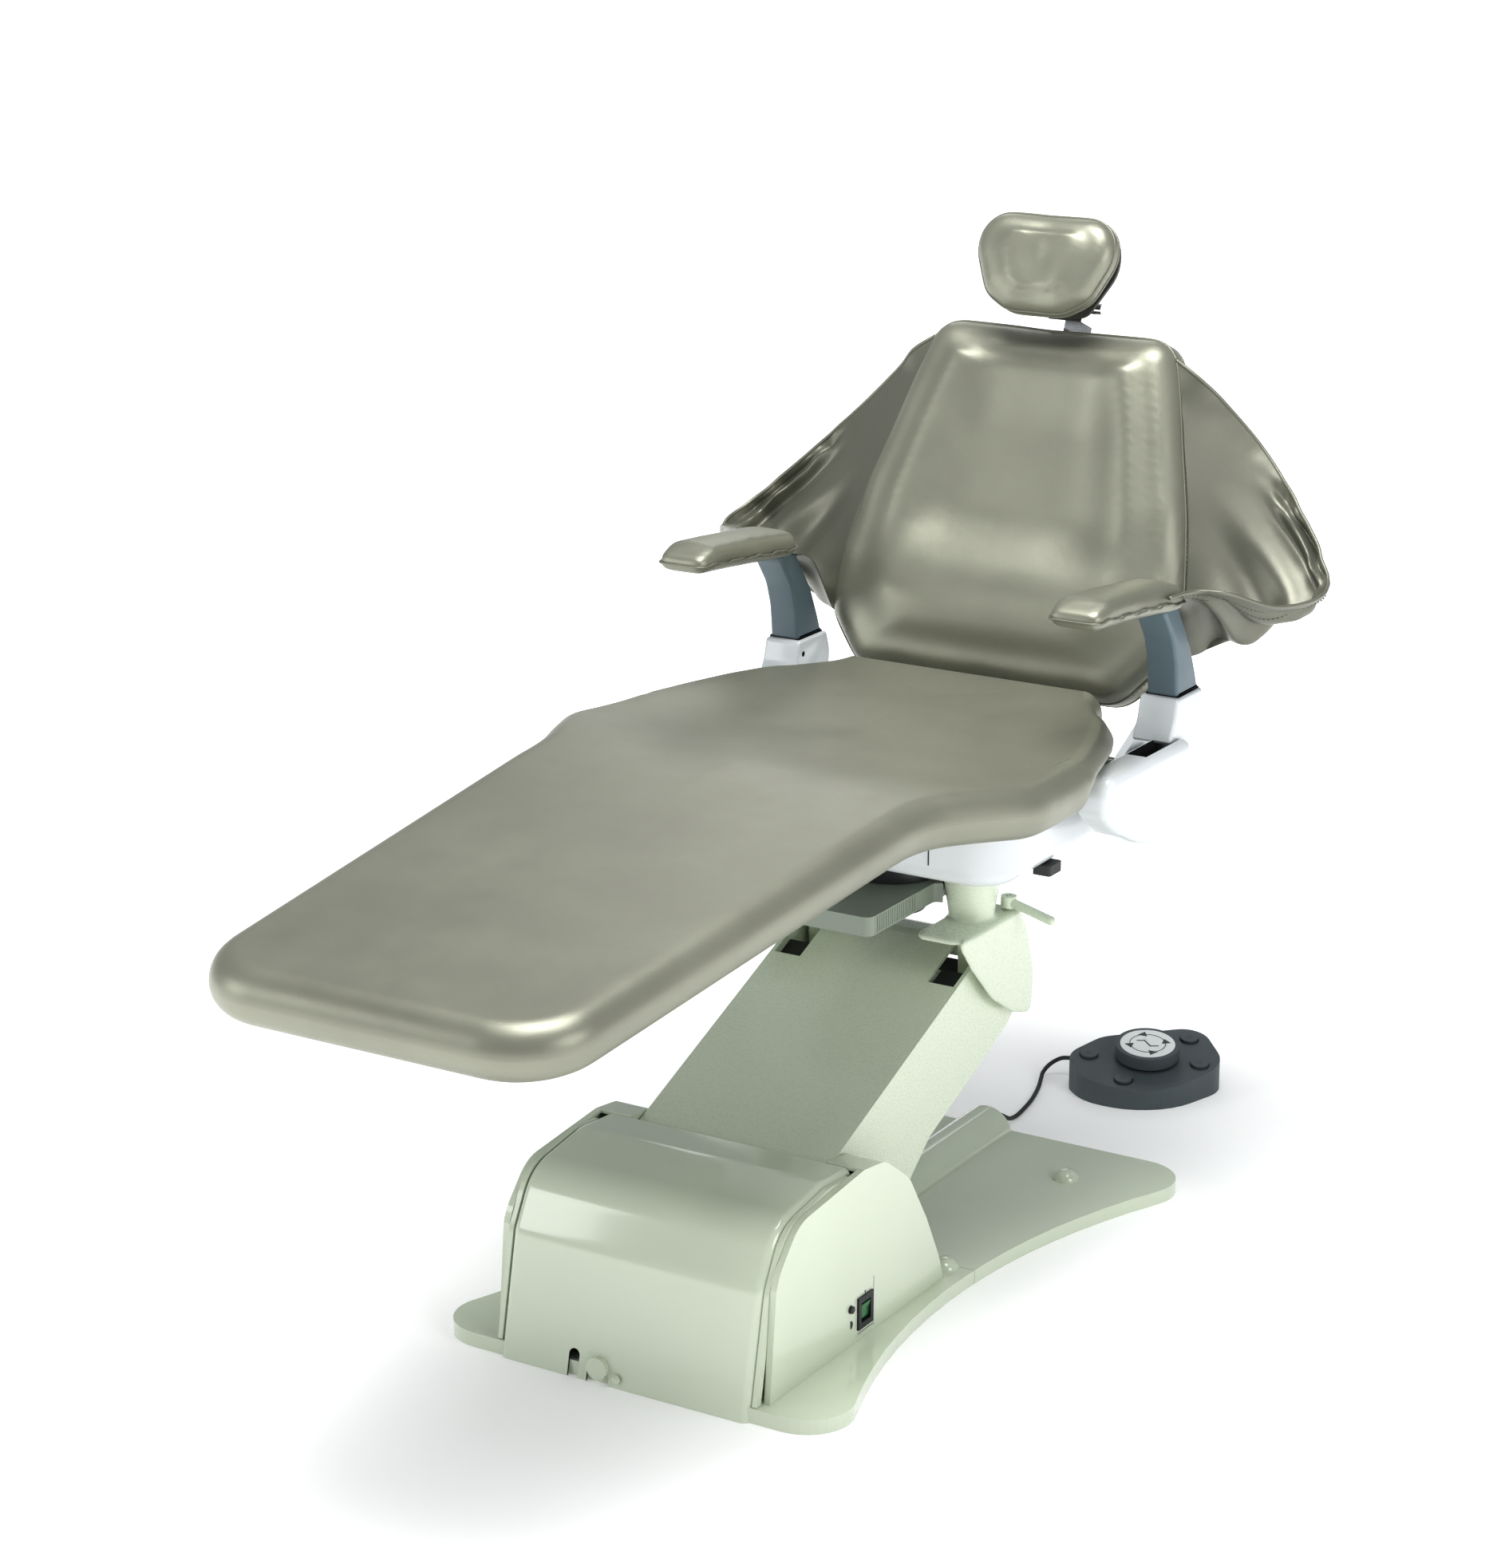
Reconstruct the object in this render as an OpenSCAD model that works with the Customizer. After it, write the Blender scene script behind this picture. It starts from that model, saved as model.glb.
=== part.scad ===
// Dental patient chair on a fixed floor base: a hydraulic parallel-link lift arm carries a swivelling seat, a
// reclining back with synchronised armrests and an articulated headrest. A foot control lies behind the base.
// Axes: +X is the patient's left, +Y points from the feet to the head, +Z is up.
// The origin is on the floor, at the centre of the four anchor bolts.

/* [Base] */
// Distance between the left and right anchor bolts
anchor_dx = 380; // [370:1:386]
// Distance between the front and rear anchor bolts
anchor_dy = 360; // [358:1:366]
// Radius of the anchor bolt holes
anchor_hole_r = 7; // [5:0.5:8]
// Thickness of the floor plate
plate_t = 20; // [16:1:20]

/* [Lift arm] */
// Half the width of the lift arm
arm_half = 147; // [144:1:147]
// Radius of the rounded ends of the lift arm
arm_r = 74; // [70:1:74]
// Wall thickness of the lift arm
arm_t = 5; // [4:1:6]

/* [Seat] */
// Thickness of the seat and leg cushion
cushion_t = 72; // [66:1:74]
// Half the distance between the outer faces of the side pods
pod_out = 345; // [343:1:348]
// Length of the brake lever
lever_len = 76; // [60:1:90]

/* [Back] */
// Recline of the back from upright, in degrees
recline = 22.2; // [21:0.1:23]
// Half the width of the back cushion at its widest
back_half = 266; // [260:1:266]

/* [Headrest] */
// Half the width of the headrest cushion
head_half = 111; // [100:1:115]

/* [Foot control] */
// Radius of the foot control's disc
disc_r = 49; // [44:1:50]
// Radius of the foot control's buttons
button_r = 13.5; // [11:0.5:14]
// Diameter of the foot control's cord
cord_d = 6.5; // [5:0.5:7]

/* [Hidden] */
CREAM = [0.87, 0.90, 0.83];
WHITE = [0.95, 0.96, 0.96];
VINYL = [0.55, 0.56, 0.49];
SHELL = [0.42, 0.43, 0.38];
SLATE = [0.30, 0.36, 0.38];
BLUEGREY = [0.45, 0.53, 0.56];
STEEL = [0.70, 0.72, 0.74];
DARK = [0.15, 0.16, 0.16];

fit = 0.06;          // radial running clearance of a shaft in another body's bore
press = 0.05;        // radial gap of a pressed pin in its own body

// Joint centres, as [y, z] in the side view
P0 = [-420, 160];    // lift arm on the base
P1 = [30, 344];      // head on the lift arm
LINK = [20, -50];    // from each arm pivot to its parallel-link pivot
Q0 = P0 + LINK;
Q1 = P1 + LINK;
C0 = [-600, 55];     // cylinder foot
C1 = [-332, 86];     // piston rod eye on the crank
H = [235, 625];      // recline axis

arm_angle = atan2(P1.y - P0.y, P1.x - P0.x);
arm_len = norm(P1 - P0);
main_r = 14;         // shaft at P0
head_r = 12;         // shafts at P1 and H
link_r = 8;          // small link and cylinder pins
crank_play = 3;      // open pivot between the piston rod eye and its crank pin
link_play = 0.8;     // open pivot between the parallel links and the head

seat_z = 550;        // underside of the seat frame
seat_top = 648;      // its rim
edge_r = cushion_t / 2;

// Plan of the floor plate: lobes at the toe end, heels at the head end, concave sides between
lobe = [233, -618];
lobe_r = 62;
heel = [265, 235];
heel_r = 65;
waist = [1285, -235];
waist_r = norm(waist - heel) - heel_r;
seam_y = -169;       // joint between the front and rear plates

// Foot control frame: centre on the floor, turn about Z and slope of the top
foot_at = [110, 612];
foot_turn = 31;
foot_slope = 9;
foot_z = 47;         // height of the sloping top over the centre
BUTTONS = [[-88, 8], [-42, -68], [78, -22], [70, 56]];
// Foot cord, from the gland in the conduit cover to the strain relief
CORD = [[0, 308, 28], [0, 322, 28], [1, 338, 24], [2, 352, 16], [2, 366, 8.5], [1, 382, 4.5], [0, 400, 3.4],
        [-4, 430, 3.4], [-10, 462, 3.4], [-18, 492, 3.4], [-27, 520, 3.4], [-36, 544, 5], [-41, 560, 9],
        [-40, 574, 15], [-34, 585, 21], [-24, 592, 26], [-10, 594, 28], [-4, 594, 28]];

// ---------------------------------------------------------------- outlines

function unit(v) = v / norm(v);
function turn_left(v) = [-v.y, v.x];
function angle_of(v) = atan2(v.y, v.x);
function wrap(p, i) = p[(i + len(p)) % len(p)];
function flip(p) = [for (i = [len(p) - 1:-1:0]) [-p[i].x, p[i].y, p[i].z]];

// Points on an arc about c, from angle a0 to a1
function arc(c, r, a0, a1, n) =
    [for (i = [0:n]) let (a = a0 + (a1 - a0) * i / n) c + r * [cos(a), sin(a)]];

// One corner b between a and c, rounded with radius r
function corner(a, b, c, r, n) =
    r <= 0 ? [b] :
    let (u = unit(a - b), v = unit(c - b), half = acos(u * v) / 2, m = b + unit(u + v) * r / sin(half),
         p = angle_of(b + u * r / tan(half) - m), q = angle_of(b + v * r / tan(half) - m),
         d = q - p, sweep = d > 180 ? d - 360 : d < -180 ? d + 360 : d)
    arc(m, r, p, p + sweep, n);

// Outline whose corners are given as [x, y, radius]
function rounded(p, n = 5) =
    [for (i = [0:len(p) - 1]) let (a = wrap(p, i - 1), b = p[i], c = wrap(p, i + 1))
        each corner([a.x, a.y], [b.x, b.y], [c.x, c.y], b.z, n)];

// Whole outline from the corners of its right-hand half, given from front to back
function symmetric(half, n = 5) = rounded(concat(half, flip(half)), n);

// A counter-clockwise [x, y, radius] outline with every side moved inwards by d
function inset(p, d) =
    [for (i = [0:len(p) - 1])
        let (a = wrap(p, i - 1), b = p[i], c = wrap(p, i + 1),
             u = unit([b.x - a.x, b.y - a.y]), v = unit([c.x - b.x, c.y - b.y]),
             m = turn_left(u), n = turn_left(v), q = [b.x, b.y] + d * (m + n) / (1 + m * n),
             bend = u.x * v.y - u.y * v.x)
        [q.x, q.y, b.z == 0 ? 0 : max(b.z - sign(bend) * d, 0.5)]];

// Strap round two circles
function strap(a, ra, b, rb, n = 10) =
    let (f = angle_of(b - a), d = acos((ra - rb) / norm(b - a)))
    concat(arc(b, rb, f - d, f + d, n), arc(a, ra, f + d, f + 360 - d, n));

// Rectangle with round corners
function box_outline(x0, y0, x1, y1, r) = rounded([[x0, y0, r], [x1, y0, r], [x1, y1, r], [x0, y1, r]]);

// ---------------------------------------------------------------- solids

// A side-view outline of [y, z] points, extruded from x0 to x1
module slab_x(x0, x1, outline) {
    translate([x0, 0, 0]) rotate([90, 0, 90]) linear_extrude(x1 - x0) polygon(outline);
}

// A round bar along X through the side-view point c
module bar_x(x0, x1, c, r) {
    translate([x0, c.x, c.y]) rotate([0, 90, 0]) cylinder(h = x1 - x0, r = r, $fn = 64);
}

// A thick plate lying flat
module plate_z(z0, z1, outline) {
    translate([0, 0, z0]) linear_extrude(z1 - z0) polygon(outline);
}

// A closed skin through equal rings; each end is closed across from one half of its ring to the other
module loft(rings) {
    n = len(rings[0]);
    last = (len(rings) - 1) * n;
    polyhedron(
        points = [for (r = rings) each r],
        faces = concat(
            [for (k = [0:len(rings) - 2], i = [0:n - 1]) each
                [[k * n + i, k * n + (i + 1) % n, (k + 1) * n + i],
                 [k * n + (i + 1) % n, (k + 1) * n + (i + 1) % n, (k + 1) * n + i]]],
            [for (i = [0:n / 2 - 2]) each [[i, n - 1 - i, i + 1], [i + 1, n - 1 - i, n - 2 - i]]],
            [for (i = [0:n / 2 - 2]) each
                [[last + i, last + i + 1, last + n - 1 - i],
                 [last + i + 1, last + n - 2 - i, last + n - 1 - i]]]));
}

// Inset of a closed outline of plain points along its own normals
function shrink(p, d) =
    [for (i = [0:len(p) - 1])
        let (t = unit(wrap(p, i + 1) - wrap(p, i - 1))) p[i] + d * turn_left(t)];

// Rings of a pillow: the outline rounded over at the top and bottom with radius r, between heights z0 and z1
function pillow(outline, z0, z1, r, steps = 4) =
    concat([for (k = [steps:-1:0]) let (a = 90 * k / steps)
               [for (p = shrink(outline, r * (1 - cos(a)))) [p.x, p.y, z0 + r * (1 - sin(a))]]],
           [for (k = [0:steps]) let (a = 90 * k / steps)
               [for (p = shrink(outline, r * (1 - cos(a)))) [p.x, p.y, z1 - r * (1 - sin(a))]]]);

// A round tube along a route of points
module tube(route, r, sides) {
    last = len(route) - 1;
    loft([for (k = [0:last])
        let (t = unit(route[min(k + 1, last)] - route[max(k - 1, 0)]),
             side = unit(cross(t, [0, 0, 1])), up = cross(side, t))
        [for (i = [0:sides - 1]) let (a = 360 * (i + 0.5) / sides)
            route[k] + r * (side * cos(a) - up * sin(a))]]);
}

// The right-hand shape as it is (side 1) or as its left-hand mirror image (side -1)
module mirrored(side) {
    mirror([side > 0 ? 0 : 1, 0, 0]) children();
}

// A round bar in the side-view plane, from distance s0 to s1 along the direction a from the point c
module bar_along(c, a, s0, s1, r) {
    translate([0, c.x, c.y]) rotate([a - 90, 0, 0]) translate([0, 0, s0])
        cylinder(h = s1 - s0, r = r, $fn = 64);
}

// ---------------------------------------------------------------- base

function plate_half() =
    let (to_heel = angle_of(heel - waist), to_lobe = angle_of(lobe - waist))
    concat(arc(lobe, lobe_r, -90, to_lobe + 180, 10),
           arc(waist, waist_r, to_lobe + 360, to_heel, 16),
           arc(heel, heel_r, to_heel - 180, 90, 10));

module floor_plate(y0, y1) {
    difference() {
        intersection() {
            plate_z(0, plate_t, concat(plate_half(), [for (p = flip(plate_half())) [p.x, p.y]]));
            translate([-400, y0, -1]) cube([800, y1 - y0, plate_t + 2]);
        }
        for (x = [-1, 1], y = [-1, 1])
            translate([x * anchor_dx / 2, y * anchor_dy / 2, -1])
                cylinder(h = plate_t + 2, r = anchor_hole_r, $fn = 48);
    }
}

module base_plate_front() { color(CREAM) floor_plate(-800, seam_y - 0.5); }
module base_plate_rear() { color(CREAM) floor_plate(seam_y + 0.5, 400); }

// Hollow domes over the anchor bolts
module anchor_caps() {
    color(CREAM)
        for (x = [-1, 1], y = [-1, 1])
            translate([x * anchor_dx / 2, y * anchor_dy / 2, plate_t])
                rotate_extrude($fn = 48)
                    polygon(concat(arc([0, -6], 21, 16.6, 88, 8), [[0, 15], [0, 13]],
                                   arc([0, -6], 19, 86, 18.4, 6)));
}

// Side profile of the cream covers, as [y, z, radius], counter-clockwise
FRONT_PROFILE = [[-687, 0, 0], [-433, 0, 0], [-433, 252, 0], [-500, 257, 60], [-612, 240, 70],
                 [-652, 168, 50]];
SIDE_PROFILE = [[-661, 20, 0], [-212, 20, 0], [-226, 58, 40], [-262, 126, 60], [-310, 200, 60],
                [-374, 246, 50], [-430, 253, 20], [-592, 238, 60], [-645, 180, 60]];

module base_front_cover() {
    notch_r = 8;
    color(CREAM)
    difference() {
        slab_x(-188, 188, rounded(FRONT_PROFILE));
        slab_x(-184.5, 184.5, rounded(concat([[-683, -1, 0], [-410, -1, 0], [-410, 248, 0]],
                                             [for (i = [3:5]) inset(FRONT_PROFILE, 3.5)[i]])));
        // Cable notches along the bottom edge
        translate([-82, -700, -1]) cube([16, 40, 30]);
        translate([-74, -660, 29]) rotate([90, 0, 0]) cylinder(h = 40, r = notch_r, $fn = 32);
        translate([-53, -700, -1]) cube([33, 40, 39]);
        // The sides stand on the floor plate
        translate([-200, -682, -1]) cube([400, 300, plate_t + 1]);
    }
}

module side_cover() {
    cavity = inset(SIDE_PROFILE, 4);
    color(CREAM)
    difference() {
        union() {
            slab_x(196, 205, rounded(SIDE_PROFILE));
            intersection() {
                slab_x(150, 205, rounded(SIDE_PROFILE));
                translate([140, -432, 0]) cube([80, 300, 300]);
            }
        }
        difference() {
            slab_x(153, 201.5, rounded(concat([[-656, 10, 0], [-220, 10, 0]], [for (i = [2:8]) cavity[i]])));
            translate([150, -225, 0]) cube([60, 30, 70]);
        }
        bar_x(149, 154, P0, main_r + 3);
    }
}

// Openings for the power switch and the reset button in the right-hand cover
module side_cover_right() {
    difference() {
        side_cover();
        translate([190, -443, 38]) cube([30, 34, 40]);
        bar_x(190, 220, [-462, 72], 5.5);
    }
}
module side_cover_left() { mirror([1, 0, 0]) side_cover(); }

// Two ridged strips that fill the groove between the front cover and each side cover
module cover_trims() {
    color(CREAM) for (s = [1, -1]) mirrored(s) difference() {
        slab_x(188.5, 195.5, rounded(inset(FRONT_PROFILE, 5)));
        slab_x(188, 196, rounded(inset(FRONT_PROFILE, 15)));
        translate([180, -700, -1]) cube([20, 300, 22]);
        translate([180, -449, -1]) cube([20, 80, 300]);
    }
}

// Round plug and small dome screw at the foot of the front cover
module service_cap() {
    color(CREAM) {
        translate([-36, -680, 21]) rotate([90, 0, 0]) cylinder(h = 9, r = 15, $fn = 48);
        translate([-8, -687, 13]) rotate([90, 0, 0]) cylinder(h = 4, r1 = 7, r2 = 4, $fn = 48);
    }
}

// Welded towers, link brackets and cylinder foot
module base_frame() {
    color(STEEL) {
        for (s = [1, -1]) mirrored(s) {
            difference() {
                slab_x(156, 170, concat([[-510, plate_t], [-330, plate_t]], arc(P0, 34, -20, 200, 12)));
                bar_x(150, 180, P0, main_r + press);
            }
            slab_x(75, 85, concat([[-440, plate_t], [-370, plate_t]], arc(Q0, 16, 0, 180, 12)));
            bar_x(52, 80, Q0, link_r);
            difference() {
                slab_x(28, 38, concat([[-625, plate_t], [-575, plate_t]], arc(C0, 18, 0, 180, 12)));
                bar_x(20, 45, C0, link_r + press);
            }
        }
        bar_x(-40, 40, C0, link_r);
    }
}

module arm_pivot_shaft() { color(STEEL) bar_x(-174, 174, P0, main_r); }

module pump_unit() {
    color(SLATE) {
        translate([-150, -655, plate_t]) cube([92, 150, 8]);
        translate([-104, -650, 82]) rotate([-90, 0, 0]) cylinder(h = 96, r = 42, $fn = 64);
        translate([-134, -554, 40]) cube([60, 44, 76]);
        translate([-140, -640, plate_t + 8]) cube([72, 80, 20]);
    }
}

module oil_tank() { color(BLUEGREY) plate_z(plate_t, 120, box_outline(58, -645, 145, -510, 14)); }

// Half-round duct that brings the cables in along the floor plate
module conduit_cover() {
    color(CREAM)
    difference() {
        intersection() {
            translate([0, -230, plate_t - 10]) rotate([-90, 0, 0]) cylinder(h = 530, r = 41, $fn = 96);
            translate([-50, -240, plate_t]) cube([100, 560, 60]);
        }
        intersection() {
            translate([0, -231, plate_t - 10]) rotate([-90, 0, 0]) cylinder(h = 527, r = 38, $fn = 96);
            translate([-50, -240, plate_t - 1]) cube([100, 560, 60]);
        }
        translate([0, 280, 28]) rotate([-90, 0, 0]) cylinder(h = 30, r = 6.5, $fn = 48);
    }
}

module cord_gland() {
    color(DARK) translate([0, 294, 28]) rotate([-90, 0, 0]) difference() {
        union() {
            cylinder(h = 14, r = 6.2, $fn = 48);
            translate([0, 0, 6.2]) cylinder(h = 3, r = 7, $fn = 48);
        }
        translate([0, 0, -1]) cylinder(h = 8, r = 3, $fn = 48);
    }
}

module switch_bezel() {
    color(DARK)
    difference() {
        union() {
            translate([190, -442.5, 38.5]) cube([15, 33, 39]);
            translate([205, -445, 36]) cube([3, 38, 44]);
        }
        translate([193, -438, 44]) cube([20, 24, 28]);
        translate([199, -450, 58]) rotate([-90, 0, 0]) cylinder(h = 45, r = 1.5 + fit, $fn = 32);
    }
}

// Two-position rocker that tilts about a pin through the bezel
module power_rocker() {
    color([0.12, 0.45, 0.22]) {
        translate([0, -415, 0]) rotate([90, 0, 0]) linear_extrude(22)
            polygon([[196, 47], [204.5, 47], [205.5, 58], [208, 69], [196, 69]]);
        translate([199, -441, 58]) rotate([-90, 0, 0]) cylinder(h = 30, r = 1.5, $fn = 32);
    }
}

module reset_button() { color(DARK) bar_x(197, 209, [-462, 72], 5); }

// ---------------------------------------------------------------- lift arm

// Direction across the arm, from its axis to its top face
arm_up = arm_angle + 90;

// Side of the arm: round at both pivots, deeper below towards the base
function arm_side() = concat(arc(P0, arm_r, arm_up, 270, 12), [[-290, 85], [-225, 129], [-150, 189]],
                             arc(P1, arm_r, arm_up - 180, arm_up, 16));

module lift_arm() {
    inner = arm_half - arm_t;
    skin = concat(arc(P0, arm_r, arm_up + 80, arm_up, 10), arc(P1, arm_r, arm_up, 10, 10),
                  arc(P1, arm_r - arm_t, 10, arm_up, 10), arc(P0, arm_r - arm_t, arm_up, arm_up + 80, 10));
    color(CREAM)
    difference() {
        union() {
            slab_x(inner, arm_half, arm_side());
            slab_x(-arm_half, -inner, arm_side());
            slab_x(-inner, inner, skin);
            bar_x(-inner, inner, P0, 24);
            for (s = [1, -1]) mirrored(s) slab_x(30, 40, strap(P0, 26, C1, 16));
        }
        bar_x(-160, 160, P0, main_r + fit);
        bar_x(-160, 160, P1, head_r + fit);
        // Slots that the lugs of the head drop through
        for (s = [1, -1]) mirrored(s)
            translate([100, P1.x, P1.y]) rotate([arm_angle, 0, 0])
                translate([0, -86, -90]) cube([41, 200, 180]);
    }
    color(STEEL) bar_x(-30, 30, C1, link_r);
}

module parallel_links() {
    color(STEEL)
    for (s = [1, -1]) mirrored(s)
        difference() {
            slab_x(55, 67, strap(Q0, 15, Q1, 15));
            bar_x(50, 70, Q0, link_r + fit);
            bar_x(50, 70, Q1, link_r + link_play);
        }
}

// ---------------------------------------------------------------- hydraulic cylinder

cyl_angle = atan2(C1.y - C0.y, C1.x - C0.x);
cyl_len = norm(C1 - C0);

module cylinder_barrel() {
    color(SLATE)
    difference() {
        union() {
            bar_x(-14, 14, C0, 18);
            bar_along(C0, cyl_angle, 14, 192, 23);
        }
        bar_x(-20, 20, C0, link_r + fit);
        bar_along(C0, cyl_angle, 26, 184, 19);
        bar_along(C0, cyl_angle, 180, 200, 9 + fit);
    }
}

module piston_rod() {
    color(STEEL)
    difference() {
        union() {
            bar_along(C0, cyl_angle, 116, 130, 18.9);
            bar_along(C0, cyl_angle, 129, cyl_len - 12, 9);
            bar_x(-12, 12, C1, 18);
        }
        bar_x(-20, 20, C1, link_r + crank_play);
    }
}

// ---------------------------------------------------------------- head

column = [120, 10];      // plan position of the tapered columns
lever_pin = [150, 62];   // plan position of the brake lever's pin

module head_yoke() {
    color(CREAM)
    for (s = [1, -1]) mirrored(s) difference() {
        union() {
            plate_z(444, 452, box_outline(88, -95, 158, 80, 16));
            slab_x(103, 135, strap([30, 420], 32, P1, 26));
            slab_x(103, 135, strap(P1, 26, Q1, 16));
            bar_x(50, 110, Q1, link_r);
            translate([column.x, column.y, 446]) cylinder(h = 84, r1 = 30, r2 = 43, $fn = 96);
            translate([column.x, column.y, 530]) cylinder(h = 18, r1 = 43, r2 = 45, $fn = 96);
            translate([lever_pin.x, lever_pin.y, 450]) cylinder(h = 24, r = 4, $fn = 48);
        }
        bar_x(100, 140, P1, head_r + press);
    }
}

// T-shaped plate that carries the swivel bearing, with a forward tongue
module head_top_plate() {
    outline = symmetric([[80, -200, 12], [80, -24, 8], [118, -10, 4], [118, 100, 16]]);
    color(CREAM)
    difference() {
        plate_z(475, 502, outline);
        translate([0, 0, 470]) cylinder(h = 40, r = 25 + fit, $fn = 96);
        for (s = [1, -1]) translate([s * column.x, column.y, 470]) cylinder(h = 40, r = 41, $fn = 96);
        // Ribbed grip on the sides of the tongue
        for (s = [1, -1], k = [0:17])
            translate([s * 80 - 0.8, -182 + k * 6, 478]) cube([1.6, 2.5, 22]);
    }
}

WING = [[-108, 454, 8], [-68, 405, 60], [-4, 342, 60], [54, 306, 30], [110, 288, 14], [117, 350, 60],
        [97, 415, 40], [77, 446, 8]];

// Side guards over the upper arm pivot
module head_wings() {
    color(CREAM) for (s = [1, -1]) mirrored(s) slab_x(159, 165, rounded(WING));
}

module head_pivot_shaft() { color(STEEL) bar_x(-155, 155, P1, head_r); }

// Cap and bolts under the swivel spindle
module swivel_cap() {
    color(DARK)
    difference() {
        union() {
            translate([0, 0, 450]) cylinder(h = 25, r = 48, $fn = 96);
            for (a = [30:60:330]) rotate([0, 0, a]) translate([36, 0, 445]) cylinder(h = 5.5, r = 5, $fn = 6);
        }
        translate([0, 0, 462]) cylinder(h = 20, r = 30, $fn = 96);
    }
}

module brake_lever() {
    slope = 8;
    color(CREAM)
    translate([lever_pin.x, lever_pin.y, 0])
    difference() {
        union() {
            translate([0, 0, 456]) cylinder(h = 16, r = 11, $fn = 64);
            translate([0, 0, 464]) rotate([0, 90 + slope, -13]) {
                cylinder(h = lever_len, r = 6.5, $fn = 48);
                translate([0, 0, lever_len]) sphere(r = 6.5, $fn = 48);
            }
        }
        translate([0, 0, 450]) cylinder(h = 30, r = 4 + fit, $fn = 48);
    }
}

// ---------------------------------------------------------------- seat

module seat_frame() {
    outer = rounded([[-250, -160, 60], [250, -160, 60], [250, 300, 24], [-250, 300, 24]], 8);
    inner = rounded([[-245, -155, 55], [245, -155, 55], [245, 295, 19], [-245, 295, 19]], 8);
    color(WHITE)
    difference() {
        union() {
            difference() {
                plate_z(seat_z, seat_top, outer);
                plate_z(seat_z + 8, 660, inner);
            }
            translate([0, 0, seat_z + 7]) cylinder(h = 60, r = 60, $fn = 96);
            for (s = [1, -1])
                mirrored(s) translate([150, -120, seat_z + 7]) cube([12, 330, seat_top - seat_z - 7]);
        }
        // The back swings down through the open rear
        translate([-244, 200, seat_z + 10]) cube([488, 120, 110]);
        bar_x(-260, 260, H, head_r + press);
        // Parting groove on the front
        translate([144, -162, seat_z - 1]) cube([1.5, 3.5, 110]);
    }
}

// Swivel bearing: a disc on the head plate with a spindle through it
module swivel_bearing() {
    color(DARK) {
        translate([0, 0, 503]) cylinder(h = 46.5, r = 70, $fn = 96);
        translate([0, 0, 476]) cylinder(h = 28, r = 25, $fn = 96);
    }
}

POD = [[-36, 668, 12], [-38, 640, 20], [-15, 620, 30], [16, 600, 60], [66, 577, 80], [116, 561, 80],
       [167, 553, 60], [222, 552, 40], [262, 566, 40], [276, 600, 40], [250, 655, 30], [214, 687, 16],
       [-20, 689, 14]];

module pod() {
    color(WHITE)
    difference() {
        union() {
            slab_x(297, pod_out, rounded(POD));
            bar_x(250.5, 300, H, 26);
        }
        slab_x(303, 333, rounded(inset(POD, 5)));
        // Slot for the foot of the armrest
        translate([296, 100, 645]) cube([37, 190, 60]);
        translate([303, 236, 606]) cube([30, 60, 60]);
        bar_x(240, 341, H, head_r + press);
    }
}
module pod_right() { pod(); }
module pod_left() { mirror([1, 0, 0]) pod(); }

module recline_shaft() { color(STEEL) bar_x(-340, 340, H, head_r); }

module rubber_stop() { color(DARK) plate_z(seat_z - 14, seat_z, box_outline(222, -12, 249, 24, 4)); }

// Height of the middle of the seat and leg cushion along its length
CUSHION_MID = [[-1210, 648], [-440, 724], [-360, 720], [-280, 708], [-200, 700], [-120, 697], [240, 698]];

module seat_board() {
    ys = [-1110, -440, -360, -280, -200, -120, 190];
    drop = edge_r + 4;
    color(SHELL)
    slab_x(-150, 150, concat(
        [for (y = ys) [y, lookup(y, CUSHION_MID) - drop]],
        [for (k = [len(ys) - 1:-1:0]) [ys[k], lookup(ys[k], CUSHION_MID) - drop - 8]]));
}

// The upper half runs straight over the notch that the lower half has for the side pods
function over_notch(p, inset) =
    p.y < -92 || p.y > 90 ? p.x : sign(p.x) * max(abs(p.x), 352 - inset - 64 * (p.y + 92) / 182);

// One piece from the toes to the hips, with a full-round edge
module seat_cushion() {
    outline = symmetric([[257, -1207, 105], [294, -430, 220], [364, -270, 120], [352, -92, 60],
                         [296, -56, 24], [288, 90, 80], [214, 190, 50], [206, 236, 26]], 6);
    r = edge_r - 0.5;
    color(VINYL)
    loft([for (ring = pillow(outline, -edge_r, edge_r, r, 5))
        let (lift = ring[0].z, inset = r - sqrt(max(0, r * r - pow(lift - sign(lift) * 0.5, 2))))
        [for (p = ring) [lift > 0 ? over_notch(p, inset) : p.x, p.y, p.z + lookup(p.y, CUSHION_MID)]]]);
}

// ---------------------------------------------------------------- back

// The back's own frame: origin on the recline axis, Z up the back, -Y out of its front
module on_back() {
    translate([0, H.x, H.y]) rotate([-recline, 0, 0]) children();
}

module backrest_frame() {
    color(WHITE) on_back() {
        for (s = [1, -1]) mirrored(s) difference() {
            union() {
                slab_x(228, 240, strap([0, 0], 22, [78, 96], 16));
                slab_x(228, 240, strap([78, 96], 16, [92, 200], 12));
            }
            bar_x(220, 250, [0, 0], head_r + fit);
        }
        bar_x(-229, 229, [84, 150], 9);
    }
}

// Outline of the back as [x, z] in its own frame, from the bottom to the top, wider by d
function back_outline(d) =
    symmetric([[200 + d, 89 - d, 50], [back_half + d, 160, 60], [back_half + d, 250, 120],
               [248 + d, 360, 200], [204 + d, 520, 200], [178 + d, 612 + d, 36]]);

// A shape drawn in plan, stood up so that its plan Y runs up the back and its height runs to the rear
module stood_up() {
    mirror([0, 1, 0]) rotate([90, 0, 0]) children();
}

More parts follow.
